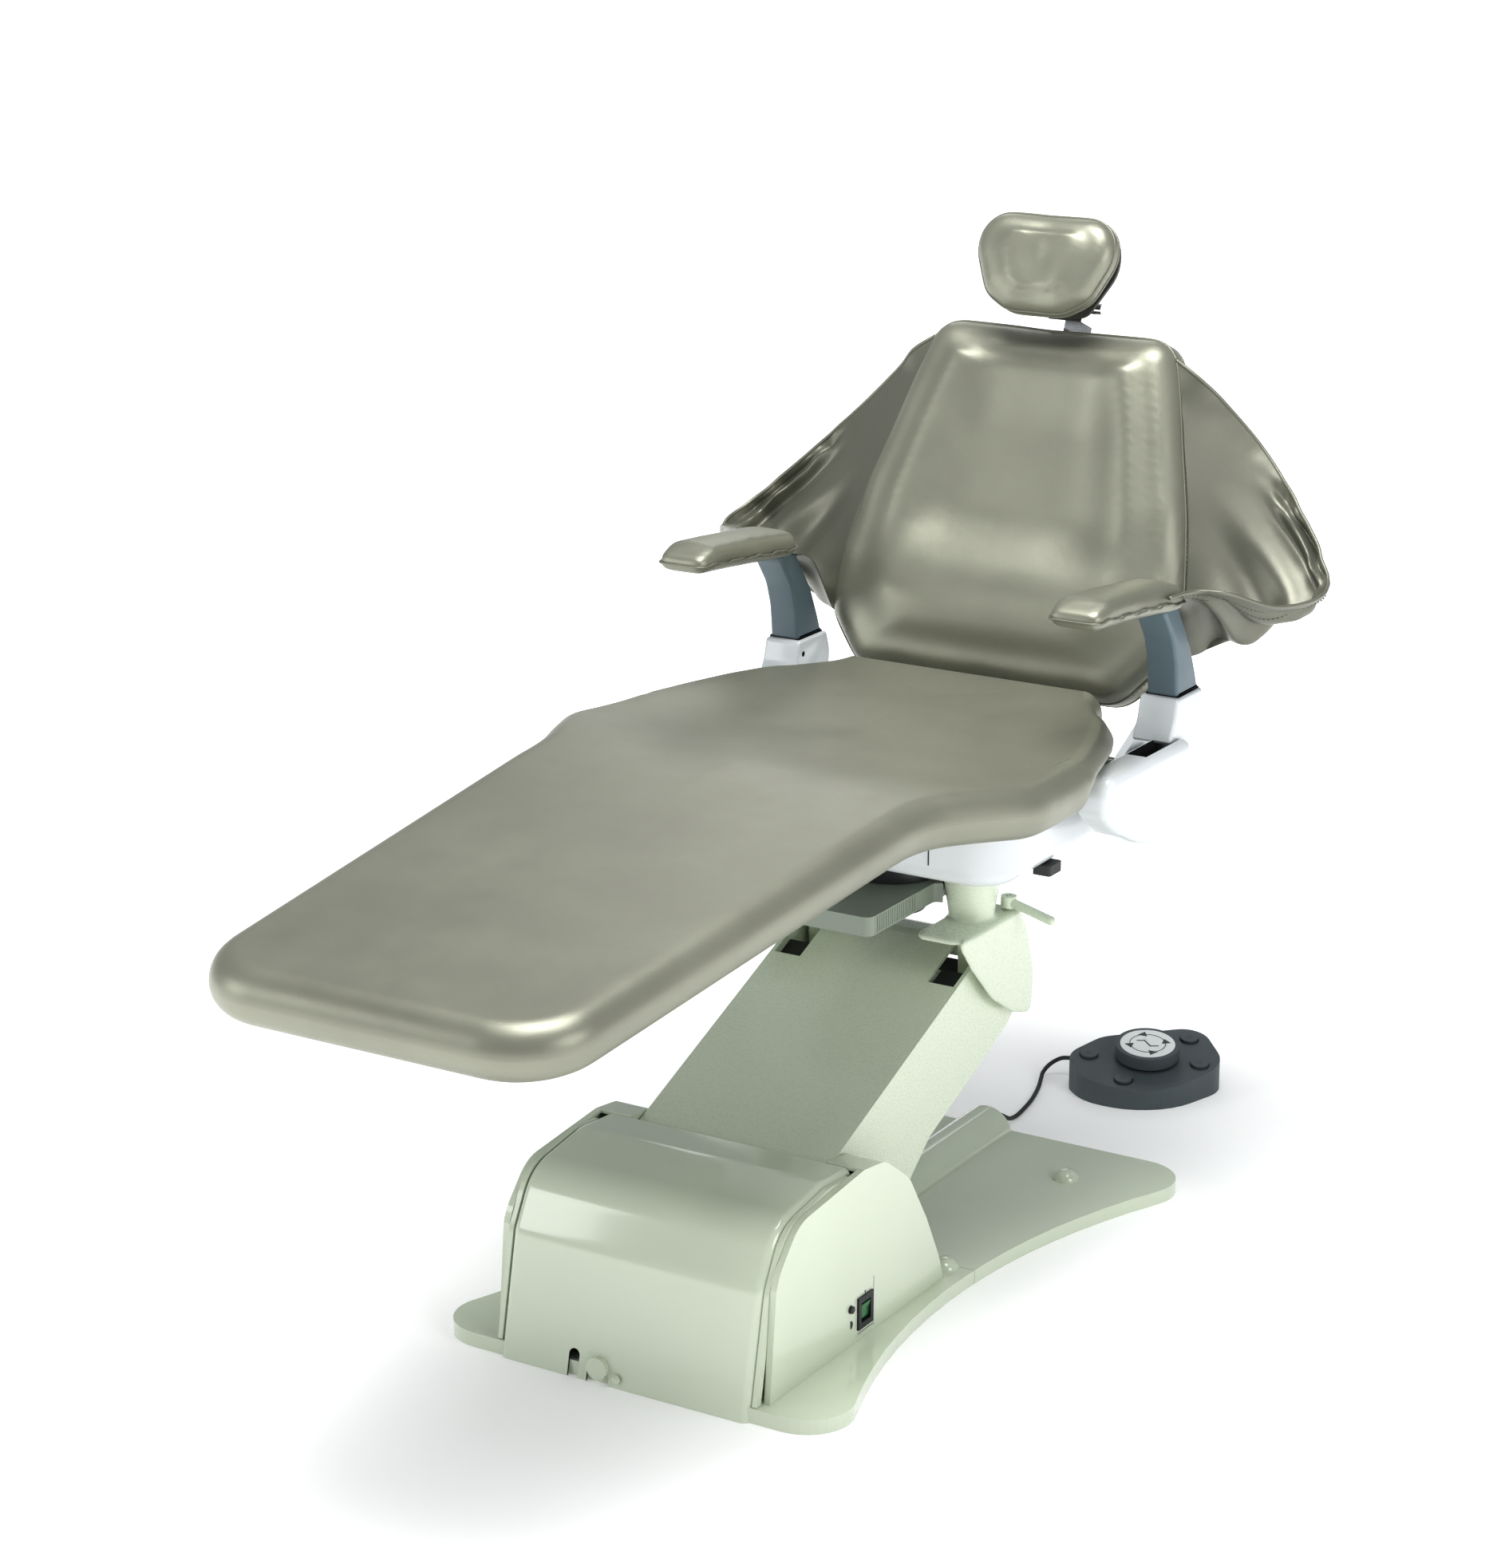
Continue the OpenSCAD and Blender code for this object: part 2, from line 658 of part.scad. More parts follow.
module backrest_shell() {
    color(SHELL) on_back() stood_up() plate_z(50, 66, back_outline(-14));
    // Guide loops for the headrest bar
    color(SHELL) on_back() for (z = [430, 560]) difference() {
        translate([-34, 65, z]) cube([68, 19, 24]);
        translate([-22.3, 67.7, z - 1]) cube([44.6, 8.6, 26]);
    }
}

module backrest_cushion() {
    color(VINYL) on_back() stood_up() loft(pillow(back_outline(7), -28, 49.5, 18, 4));
}

// Side wings of fabric, as rows of [point at the back's edge, pull of the pouch, point on the free rim]
SLING = [[[276, 301, 770], [330, 350, 780], [354, 188, 898]],
         [[277, 320, 806], [400, 350, 800], [398, 204, 899]],
         [[277, 339, 853], [440, 380, 812], [440, 268, 873]],
         [[272, 358, 899], [450, 410, 840], [472, 336, 876]],
         [[262, 377, 945], [420, 440, 890], [461, 386, 894]],
         [[250, 395, 992], [360, 450, 960], [411, 435, 948]],
         [[236, 414, 1038], [300, 455, 1030], [330, 474, 1031]],
         [[222, 433, 1084], [255, 465, 1085], [249, 485, 1108]],
         [[206, 445, 1125], [216, 455, 1132], [227, 451, 1140]]];

module sling() {
    thick = [1.2, 2.0, -0.8];
    steps = 6;
    color(VINYL)
    loft([for (row = SLING)
        let (curve = [for (k = [0:steps]) let (u = k / steps)
                 row[0] * pow(1 - u, 2) + row[1] * 2 * u * (1 - u) + row[2] * pow(u, 2)])
        concat(curve, [for (k = [steps:-1:0]) curve[k] + thick])]);
}
module sling_right() { sling(); }
module sling_left() { mirror([1, 0, 0]) sling(); }

// ---------------------------------------------------------------- armrests

SOCKET = [[182, 684, 4], [198, 712, 40], [206, 742, 6], [284, 742, 6], [294, 714, 40], [290, 662, 8],
          [236, 668, 4]];
POST = [[213, 742, 0], [208, 790, 60], [196, 826, 60], [170, 856, 30], [140, 876.35, 0], [206, 870, 0],
        [226, 846, 40], [250, 812, 60], [270, 768, 60], [280, 742, 0]];

module armrest_socket() {
    color(WHITE)
    difference() {
        union() {
            slab_x(270, 328, rounded(SOCKET));
            slab_x(306, 328, strap(H, 20, [230, 672], 13));
        }
        bar_x(300, 335, H, head_r + fit);
        bar_x(268, 272, [206, 722], 4);
    }
}
module armrest_post() { color(BLUEGREY) slab_x(277, 323, rounded(POST)); }
// The pads rise towards the nose by this angle, about the back end of the post's top
pad_rise = 5.5;

module armrest_pad() {
    outline = symmetric([[37, -72, 15], [43, -40, 20], [43, 190, 18]]);
    color(VINYL) translate([300, 206, 870]) rotate([-pad_rise, 0, 0]) translate([0, -206, -870])
        loft(pillow(outline, 870, 911, 14, 3));
}
module armrest_socket_right() { armrest_socket(); }
module armrest_socket_left() { mirror([1, 0, 0]) armrest_socket(); }
module armrest_post_right() { armrest_post(); }
module armrest_post_left() { mirror([1, 0, 0]) armrest_post(); }
module armrest_pad_right() { armrest_pad(); }
module armrest_pad_left() { mirror([1, 0, 0]) armrest_pad(); }

// ---------------------------------------------------------------- headrest

NECK = [18, 640];        // lower headrest hinge, as [y, z] in the back's own frame
NAPE = [-22, 672];       // upper headrest hinge
pin_r = 5;

module headrest_bar() {
    color(STEEL) on_back() {
        translate([-22, 68, 330]) cube([44, 8, 305]);
        translate([-26, 22, 620]) cube([52, 54, 14]);
        bar_x(-26, 26, NECK, 12);
        bar_x(-35, 35, NECK, pin_r);
    }
}

module headrest_arm() {
    color(STEEL) on_back() {
        for (s = [1, -1]) mirrored(s) difference() {
            slab_x(29, 35, strap(NECK, 13, NAPE, 11));
            bar_x(20, 40, NECK, pin_r + fit);
        }
        bar_x(-30, 30, NAPE, pin_r);
        bar_x(-56, -35.5, NECK, 10);
        bar_x(35.5, 58, NECK, 8);
    }
}

function head_outline(d) =
    symmetric([[74 + d, 602 - d, 24], [head_half + d, 680, 60], [head_half + d - 8, 750 + d, 40]]);

module headrest_shell() {
    color(SHELL) on_back() {
        difference() {
            slab_x(-16, 16, strap(NAPE, 12, [-34, 672], 12));
            bar_x(-20, 20, NAPE, pin_r + fit);
            translate([-20, -60, 640]) cube([40, 23, 60]);
        }
        stood_up() plate_z(-42, -37, head_outline(-10));
    }
}

module headrest_cushion() {
    color(VINYL) on_back() stood_up() loft(pillow(head_outline(0), -106, -42.5, 22, 4));
}

// ---------------------------------------------------------------- foot control

module on_foot() { translate([foot_at.x, foot_at.y, 0]) rotate([0, 0, foot_turn]) children(); }
module on_foot_top() { on_foot() translate([0, 0, foot_z]) rotate([foot_slope, 0, 0]) children(); }

FOOT_OUTLINE = rounded([[-126, 8, 48], [-64, 64, 60], [92, 94, 40], [118, -18, 60], [-2, -128, 110],
                        [-104, -62, 80]], 8);

// Gimbal pins of the disc: height over the top and radius
gimbal_z = 6;
gimbal_r = 3;

module foot_control_body() {
    color(SLATE) {
        difference() {
            intersection() {
                on_foot() plate_z(0, 80, FOOT_OUTLINE);
                on_foot_top() translate([-200, -200, -100]) cube([400, 400, 100]);
            }
            on_foot_top() for (b = BUTTONS)
                translate([b.x, b.y, -11]) cylinder(h = 20, r = button_r + 0.7, $fn = 64);
        }
        // Ears that carry the gimbal
        on_foot_top() for (s = [1, -1]) difference() {
            translate([s * 18 - 2, -5, 0]) cube([4, 10, 9.6]);
            bar_x(-30, 30, [0, gimbal_z], gimbal_r + fit);
        }
    }
}

module foot_cord_relief() {
    color(DARK)
    difference() {
        translate(CORD[len(CORD) - 1]) rotate([0, 90, 0]) cylinder(h = 40, r1 = 4, r2 = 8, $fn = 48);
        on_foot() plate_z(0, 80, FOOT_OUTLINE);
    }
}

module foot_cord() { color(DARK) tube(CORD, cord_d / 2, 8); }

module foot_gimbal() {
    color(STEEL) on_foot_top() {
        translate([-6, -6, gimbal_z - 4]) cube([12, 12, 8]);
        bar_x(-20, 20, [0, gimbal_z], gimbal_r);
        translate([0, -20, gimbal_z]) rotate([-90, 0, 0]) cylinder(h = 40, r = gimbal_r, $fn = 48);
    }
}

module foot_disc() {
    color(DARK) on_foot_top() {
        difference() {
            translate([0, 0, 5]) cylinder(h = 19, r = disc_r, $fn = 96);
            translate([0, 0, 4]) cylinder(h = 9, r = disc_r - 4, $fn = 96);
        }
        for (s = [1, -1]) difference() {
            translate([-5, s * 18 - 2, 1.5]) cube([10, 4, 12]);
            translate([0, -30, gimbal_z]) rotate([-90, 0, 0]) cylinder(h = 60, r = gimbal_r + fit, $fn = 48);
        }
    }
}

module foot_button(b) {
    color(SLATE) on_foot_top() translate([b.x, b.y, -6]) cylinder(h = 10, r = button_r, $fn = 64);
}
module foot_button_1() { foot_button(BUTTONS[0]); }
module foot_button_2() { foot_button(BUTTONS[1]); }
module foot_button_3() { foot_button(BUTTONS[2]); }
module foot_button_4() { foot_button(BUTTONS[3]); }

base_plate_front();
base_plate_rear();
anchor_caps();
base_front_cover();
side_cover_left();
side_cover_right();
cover_trims();
service_cap();
base_frame();
arm_pivot_shaft();
pump_unit();
oil_tank();
conduit_cover();
cord_gland();
switch_bezel();
power_rocker();
reset_button();
lift_arm();
parallel_links();
head_yoke();
head_top_plate();
head_wings();
head_pivot_shaft();
swivel_cap();
cylinder_barrel();
piston_rod();
brake_lever();
seat_frame();
swivel_bearing();
pod_left();
pod_right();
recline_shaft();
rubber_stop();
seat_board();
seat_cushion();
backrest_frame();
backrest_shell();
backrest_cushion();
sling_left();
sling_right();
armrest_socket_left();
armrest_socket_right();
armrest_post_left();
armrest_post_right();
armrest_pad_left();
armrest_pad_right();
headrest_bar();
headrest_arm();
headrest_shell();
headrest_cushion();
foot_control_body();
foot_cord_relief();
foot_cord();
foot_gimbal();
foot_disc();
foot_button_1();
foot_button_2();
foot_button_3();
foot_button_4();
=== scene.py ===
"""Dental patient chair: the visual model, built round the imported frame. Lengths are in millimetres until a
mesh is made; every object is in metres, in the frame's own axes."""

import math

import bmesh
import bpy
import numpy as np
from mathutils import Matrix, Vector, noise
from mathutils.bvhtree import BVHTree


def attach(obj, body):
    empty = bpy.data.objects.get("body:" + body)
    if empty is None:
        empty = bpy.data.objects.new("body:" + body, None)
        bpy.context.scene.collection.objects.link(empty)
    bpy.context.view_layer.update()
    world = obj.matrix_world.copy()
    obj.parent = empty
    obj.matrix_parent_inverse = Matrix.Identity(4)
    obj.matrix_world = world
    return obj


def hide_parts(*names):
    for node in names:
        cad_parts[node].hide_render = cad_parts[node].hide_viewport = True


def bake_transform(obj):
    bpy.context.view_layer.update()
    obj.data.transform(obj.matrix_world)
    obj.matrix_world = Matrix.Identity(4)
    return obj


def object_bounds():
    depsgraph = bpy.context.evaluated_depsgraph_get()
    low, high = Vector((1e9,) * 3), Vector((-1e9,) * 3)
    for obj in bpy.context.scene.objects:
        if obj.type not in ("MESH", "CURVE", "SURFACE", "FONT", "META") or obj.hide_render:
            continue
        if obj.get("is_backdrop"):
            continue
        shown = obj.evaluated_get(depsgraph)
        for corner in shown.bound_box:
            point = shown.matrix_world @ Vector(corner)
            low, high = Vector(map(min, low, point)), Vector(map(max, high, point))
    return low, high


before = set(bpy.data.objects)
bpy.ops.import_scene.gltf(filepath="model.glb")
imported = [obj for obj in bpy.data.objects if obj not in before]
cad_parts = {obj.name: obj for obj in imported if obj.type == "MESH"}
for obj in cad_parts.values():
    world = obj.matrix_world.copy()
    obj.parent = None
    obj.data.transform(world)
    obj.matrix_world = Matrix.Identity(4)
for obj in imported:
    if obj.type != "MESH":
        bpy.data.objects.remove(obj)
cad_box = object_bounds()

MM = 0.001
HINGE = (0.0, 235.0, 625.0)  # recline axis
RECLINE = math.radians(22.2)
FOOT_AT = (110.0, 612.0)
FOOT_TURN = math.radians(31.0)
FOOT_SLOPE = math.radians(9.0)
FOOT_TOP = 47.0

# ------------------------------------------------------------------ camera

CAMERA_AT = (2.3769, -4.264, 2.0928)
CAMERA_PITCH = 16.758
CAMERA_YAW = 31.446
SENSOR = 36.0
LENS = 89.655


def make_camera():
    """Camera at the photographed angle: from the patient's left, ahead of the toes, looking down a little."""
    data = bpy.data.cameras.new("view")
    data.sensor_fit = "HORIZONTAL"
    data.sensor_width = SENSOR
    data.lens = LENS
    data.clip_end = 400.0
    camera = bpy.data.objects.new("view", data)
    camera.location = CAMERA_AT
    camera.rotation_euler = (math.radians(90.0 - CAMERA_PITCH), 0.0, math.radians(CAMERA_YAW))
    bpy.context.scene.collection.objects.link(camera)
    bpy.context.scene.camera = camera


make_camera()

# ------------------------------------------------------------------ node helpers


class Nodes:
    """Small helper that adds and links shader nodes in one material."""

    def __init__(self, name):
        self.material = bpy.data.materials.new(name)
        self.material.use_nodes = True
        self.tree = self.material.node_tree
        self.shader = self.tree.nodes["Principled BSDF"]
        self.where = self.add("ShaderNodeTexCoord").outputs["Object"]

    def add(self, kind, **settings):
        node = self.tree.nodes.new(kind)
        for key, value in settings.items():
            setattr(node, key, value)
        return node

    def link(self, a, b):
        self.tree.links.new(a, b)

    def noise(self, scale, detail=3.0, roughness=0.5):
        node = self.add("ShaderNodeTexNoise")
        node.inputs["Scale"].default_value = scale
        node.inputs["Detail"].default_value = detail
        node.inputs["Roughness"].default_value = roughness
        self.link(self.where, node.inputs["Vector"])
        return node.outputs["Fac"]

    def cells(self, scale, randomness=1.0):
        node = self.add("ShaderNodeTexVoronoi", feature="DISTANCE_TO_EDGE")
        node.inputs["Scale"].default_value = scale
        node.inputs["Randomness"].default_value = randomness
        self.link(self.where, node.inputs["Vector"])
        return node.outputs["Distance"]

    def span(self, value, low, high, to_low, to_high):
        node = self.add("ShaderNodeMapRange")
        for socket, number in zip(("From Min", "From Max", "To Min", "To Max"), (low, high, to_low, to_high)):
            node.inputs[socket].default_value = number
        self.link(value, node.inputs["Value"])
        return node.outputs["Result"]

    def ramp(self, value, low, high):
        node = self.add("ShaderNodeValToRGB")
        node.color_ramp.elements[0].color = (*low, 1.0)
        node.color_ramp.elements[1].color = (*high, 1.0)
        self.link(value, node.inputs["Fac"])
        return node.outputs["Color"]

    def math(self, operation, a, b):
        node = self.add("ShaderNodeMath", operation=operation)
        for socket, value in zip(node.inputs, (a, b)):
            if isinstance(value, (int, float)):
                socket.default_value = value
            else:
                self.link(value, socket)
        return node.outputs["Value"]

    def bump(self, height, strength, distance, after=None):
        node = self.add("ShaderNodeBump")
        node.inputs["Strength"].default_value = strength
        node.inputs["Distance"].default_value = distance
        self.link(height, node.inputs["Height"])
        if after is not None:
            self.link(after, node.inputs["Normal"])
        return node.outputs["Normal"]

    def finish(self, color, roughness, normal=None, **plain):
        for socket, value in (("Base Color", color), ("Roughness", roughness)):
            if isinstance(value, (int, float)):
                self.shader.inputs[socket].default_value = value
            elif isinstance(value, tuple):
                self.shader.inputs[socket].default_value = (*value, 1.0)
            else:
                self.link(value, self.shader.inputs[socket])
        if normal is not None:
            self.link(normal, self.shader.inputs["Normal"])
        for key, value in plain.items():
            self.shader.inputs[key.replace("_", " ")].default_value = value
        return self.material


def shade(color, factor):
    return tuple(c * factor for c in color)


def vinyl(name, color, grain=1.0):
    """Coated upholstery vinyl: fine leather grain, soft colour drift, satin sheen."""
    n = Nodes(name)
    tone = n.noise(5.0, 4.0)
    fine = n.noise(900.0, 2.0)
    mixed = n.math("ADD", n.math("MULTIPLY", tone, 0.7), n.math("MULTIPLY", fine, 0.3))
    base = n.ramp(n.span(mixed, 0.35, 0.65, 0.0, 1.0), shade(color, 0.93), shade(color, 1.06))
    pores = n.span(n.cells(1500.0), 0.0, 0.25, 0.0, 1.0)
    soft = n.noise(60.0, 3.0)
    normal = n.bump(pores, 0.10 * grain, 0.0004)
    normal = n.bump(soft, 0.05, 0.004, normal)
    rough = n.span(n.noise(14.0, 4.0), 0.3, 0.7, 0.36, 0.44)
    return n.finish(base, rough, normal, Metallic=0.55, Coat_Weight=0.08, Coat_Roughness=0.25, IOR=1.5)


def moulded(name, color, roughness, texture=0.0, coat=0.0):
    """Moulded plastic: faint flow marks, optional fine texture."""
    n = Nodes(name)
    base = n.ramp(n.span(n.noise(3.5, 3.0), 0.3, 0.7, 0.0, 1.0), shade(color, 0.975), shade(color, 1.02))
    rough = n.span(n.noise(22.0, 4.0), 0.3, 0.7, roughness * 0.9, roughness * 1.12)
    normal = n.bump(n.noise(7.0, 2.0), 0.03, 0.004)
    if texture > 0.0:
        normal = n.bump(n.noise(1400.0, 2.0), texture, 0.0004, normal)
    return n.finish(base, rough, normal, Coat_Weight=coat, Coat_Roughness=0.08, IOR=1.48)


def painted(name, color, roughness):
    """Powder paint on steel: slight orange peel and tone."""
    n = Nodes(name)
    drift = n.ramp(n.noise(420.0, 2.0), shade(color, 0.99), shade(color, 1.01))
    peel = n.bump(n.noise(260.0, 2.0), 0.02, 0.001)
    rough = n.span(n.noise(300.0, 2.0), 0.3, 0.7, roughness * 0.9, roughness * 1.1)
    return n.finish(drift, rough, peel, Coat_Weight=0.25, Coat_Roughness=0.1, IOR=1.5)


def metal(name, color, roughness, brushed=True):
    """Steel: fine lengthwise brushing and uneven polish."""
    n = Nodes(name)
    lines = n.add("ShaderNodeTexNoise")
    stretch = n.add("ShaderNodeMapping")
    stretch.inputs["Scale"].default_value = (30.0, 900.0, 900.0)
    n.link(n.where, stretch.inputs["Vector"])
    n.link(stretch.outputs["Vector"], lines.inputs["Vector"])
    lines.inputs["Scale"].default_value = 1.0
    rough = n.span(n.noise(40.0, 4.0), 0.3, 0.7, roughness * 0.8, roughness * 1.25)
    normal = n.bump(lines.outputs["Fac"], 0.08 if brushed else 0.02, 0.0005)
    base = n.ramp(n.noise(12.0, 3.0), shade(color, 0.94), shade(color, 1.03))
    return n.finish(base, rough, normal, Metallic=1.0)


def rubbery(name, color, roughness=0.6):
    n = Nodes(name)
    base = n.ramp(n.noise(60.0, 4.0), shade(color, 0.85), shade(color, 1.15))
    normal = n.bump(n.noise(1100.0, 3.0), 0.12, 0.0005)
    rough = n.span(n.noise(30.0, 3.0), 0.3, 0.7, roughness * 0.9, roughness * 1.1)
    return n.finish(base, rough, normal, IOR=1.45)


TAUPE = (0.290, 0.292, 0.235)
CREAM = (0.68, 0.745, 0.605)
VINYL = vinyl("vinyl", TAUPE)
VINYL_EDGE = vinyl("vinyl_welt", shade(TAUPE, 0.80))
# The slings' vinyl is the upholstery colour darkened to 0.66: painted shade, for the slings that sit in
# shadow.
VINYL_SLING_SHADED = vinyl("vinyl_sling_painted_shade", shade(TAUPE, 0.66))
THREAD = rubbery("thread", shade(TAUPE, 0.72), 0.7)
COVER = moulded("cover_plastic", CREAM, 0.16, coat=0.5)
CREAM_PAINT = painted("cream_paint", CREAM, 0.28)
WHITE = moulded("white_plastic", (0.70, 0.73, 0.745), 0.22, coat=0.3)
WHITE_PAINT = painted("white_paint", (0.70, 0.73, 0.745), 0.3)
POST_GREY = moulded("post_plastic", (0.13, 0.18, 0.205), 0.40, texture=0.06)
SLATE = moulded("slate_plastic", (0.085, 0.105, 0.112), 0.50, texture=0.10)
# Cream paint darkened to about 0.4 of CREAM: painted shade, for the head's top plate, which sits in the
# seat's shadow, and for the oil tank.
CREAM_PAINT_SHADED = painted("slate_paint", (0.27, 0.31, 0.255), 0.4)
BLACK = moulded("black_plastic", (0.018, 0.019, 0.021), 0.38, texture=0.05)
DARK_METAL = painted("dark_paint", (0.03, 0.031, 0.033), 0.45)
STEEL = metal("steel", (0.60, 0.61, 0.62), 0.32)
CHROME = metal("chrome", (0.80, 0.81, 0.82), 0.12, brushed=False)
# Near-black: the shell is darkened so that its side beside the back cushion reads as the shade there, painted
# shade.
SHELL = moulded("shell_plastic", (0.06, 0.06, 0.052), 0.5, texture=0.10)
RUBBER = rubbery("rubber", (0.045, 0.048, 0.046))
GREEN = moulded("green_lens", (0.015, 0.16, 0.045), 0.18, coat=0.6)
MARK_WHITE = moulded("marking_white", (0.84, 0.86, 0.86), 0.3)
MARK_DARK = moulded("marking_dark", (0.06, 0.07, 0.075), 0.45)

# ------------------------------------------------------------------ mesh helpers


def smooth_faces(mesh):
    """Shades every face of a mesh smooth."""
    for polygon in mesh.polygons:
        polygon.use_smooth = True


def new_object(name, verts, faces, material, smooth=True, scale=MM):
    mesh = bpy.data.meshes.new(name)
    mesh.from_pydata([tuple(c * scale for c in v) for v in verts], [], faces)
    mesh.validate()
    work = bmesh.new()
    work.from_mesh(mesh)
    bmesh.ops.recalc_face_normals(work, faces=work.faces)
    work.to_mesh(mesh)
    work.free()
    for polygon in mesh.polygons:
        polygon.use_smooth = smooth
    mesh.materials.append(material)
    obj = bpy.data.objects.new(name, mesh)
    bpy.context.scene.collection.objects.link(obj)
    return obj


def subdivide(obj, levels=1):
    modifier = obj.modifiers.new("smooth", "SUBSURF")
    modifier.levels = levels
    modifier.render_levels = levels
    return obj


def bevel(obj, width, segments=3, angle=35.0):
    modifier = obj.modifiers.new("bevel", "BEVEL")
    modifier.width = width * MM
    modifier.segments = segments
    modifier.limit_method = "ANGLE"
    modifier.angle_limit = math.radians(angle)
    modifier.harden_normals = False
    return obj


def bake_modifiers(obj):
    """Replaces the object's mesh with what its modifiers give."""
    graph = bpy.context.evaluated_depsgraph_get()
    mesh = bpy.data.meshes.new_from_object(obj.evaluated_get(graph))
    obj.modifiers.clear()
    obj.data = mesh
    smooth_faces(mesh)
    return obj


def arc(cx, cy, r, a0, a1, n):
    """Points on an arc, angles in degrees."""
    return [(cx + r * math.cos(math.radians(a0 + (a1 - a0) * i / n)),
             cy + r * math.sin(math.radians(a0 + (a1 - a0) * i / n))) for i in range(n + 1)]


def rounded(corners, n=6):
    """Closed outline from (x, y, radius) corners."""
    out = []
    count = len(corners)
    for i, (x, y, r) in enumerate(corners):
        b = np.array((x, y), float)
        a = np.array(corners[i - 1][:2], float)
        c = np.array(corners[(i + 1) % count][:2], float)
        if r <= 0:
            out.append(b)
            continue
        u = (a - b) / np.linalg.norm(a - b)
        v = (c - b) / np.linalg.norm(c - b)
        half = math.acos(float(np.clip(u @ v, -1, 1))) / 2
        m = b + (u + v) / np.linalg.norm(u + v) * r / math.sin(half)
        p = b + u * r / math.tan(half) - m
        q = b + v * r / math.tan(half) - m
        start = math.atan2(p[1], p[0])
        sweep = (math.atan2(q[1], q[0]) - start + math.pi) % (2 * math.pi) - math.pi
        out += [m + r * np.array((math.cos(start + sweep * k / n), math.sin(start + sweep * k / n)))
                for k in range(n + 1)]
    return np.array(out)


def symmetric(half, n=6):
    return rounded(list(half) + [(-x, y, r) for x, y, r in reversed(half)], n)


def resample(points, count, closed=True):
    """Points spaced evenly along a polyline."""
    p = np.array(points, float)
    if closed:
        p = np.vstack([p, p[:1]])
    d = np.r_[0, np.cumsum(np.linalg.norm(np.diff(p, axis=0), axis=1))]
    at = np.linspace(0, d[-1], count + 1)[:-1] if closed else np.linspace(0, d[-1], count)
    return np.stack([np.interp(at, d, p[:, k]) for k in range(p.shape[1])], axis=1)


def catmull(points, per=8, closed=False):
    """Smooth curve through the given points."""
    p = np.array(points, float)
    out = []
    count = len(p)
    spans = count if closed else count - 1
    for i in range(spans):
        if closed:
            a, b, c, d = p[i - 1], p[i], p[(i + 1) % count], p[(i + 2) % count]
        else:
            b, c = p[i], p[i + 1]
            a = p[i - 1] if i > 0 else 2 * b - c
            d = p[i + 2] if i + 2 < count else 2 * c - b
        for k in range(per):
            t = k / per
            out.append(0.5 * (2 * b + (c - a) * t + (2 * a - 5 * b + 4 * c - d) * t ** 2
                              + (3 * b - a - 3 * c + d) * t ** 3))
    if not closed:
        out.append(p[-1])
    return np.array(out)


def inward(outline, d):
    """A counter-clockwise outline moved inwards by d along its own normals."""
    t = np.roll(outline, -1, axis=0) - np.roll(outline, 1, axis=0)
    t /= np.linalg.norm(t, axis=1)[:, None]
    return outline + d * np.stack([-t[:, 1], t[:, 0]], axis=1)


def grid_faces(rows, cols, wrap):
    """Quads of a grid stored row by row; wrap joins the last column to the first."""
    faces = []
    for i in range(rows - 1):
        for j in range(cols if wrap else cols - 1):
            k = (j + 1) % cols
            faces.append((i * cols + j, i * cols + k, (i + 1) * cols + k, (i + 1) * cols + j))
    return faces


def skin(name, rings, material, cap=True, smooth=True):
    """A closed skin through equal rings of 3-D points."""
    rings = [np.array(r, float) for r in rings]
    count = len(rings[0])
    verts = np.vstack(rings)
    faces = grid_faces(len(rings), count, True)
    if cap:
        faces.append(tuple(range(count)))
        faces.append(tuple((len(rings) - 1) * count + i for i in range(count)))
    return new_object(name, verts.tolist(), faces, material, smooth)


def tube(name, path, radius, material, sides=10, closed=False, taper=None):
    """A round tube along a 3-D path; radius may shrink by the taper function of 0..1."""
    path = np.array(path, float)
    count = len(path)
    rings = []
    up = np.array((0.0, 0.0, 1.0))
    for i in range(count):
        if closed:
            t = path[(i + 1) % count] - path[i - 1]
        else:
            t = path[min(i + 1, count - 1)] - path[max(i - 1, 0)]
        t = t / np.linalg.norm(t)
        side = np.cross(t, up)
        if np.linalg.norm(side) < 0.05:
            side = np.cross(t, (1.0, 0.0, 0.0))
        side /= np.linalg.norm(side)
        other = np.cross(side, t)
        r = radius * (taper(i / (count - 1)) if taper else 1.0)
        rings.append([path[i] + r * (math.cos(a) * side + math.sin(a) * other)
                      for a in np.linspace(0, 2 * math.pi, sides, endpoint=False)])
    if closed:
        rings.append(rings[0])
        obj = skin(name, rings, material, cap=False)
        weld(obj, 0.01)
        return obj
    return skin(name, rings, material)


def weld(obj, distance):
    work = bmesh.new()
    work.from_mesh(obj.data)
    bmesh.ops.remove_doubles(work, verts=work.verts, dist=distance * MM)
    bmesh.ops.recalc_face_normals(work, faces=work.faces)
    work.to_mesh(obj.data)
    work.free()
    smooth_faces(obj.data)


def join(name, objects, material):
    """One mesh object out of several."""
    work = bmesh.new()
    for obj in objects:
        work.from_mesh(obj.data)
        bpy.data.objects.remove(obj)
    mesh = bpy.data.meshes.new(name)
    work.to_mesh(mesh)
    work.free()
    smooth_faces(mesh)
    mesh.materials.clear()
    mesh.materials.append(material)
    obj = bpy.data.objects.new(name, mesh)
    bpy.context.scene.collection.objects.link(obj)
    return obj


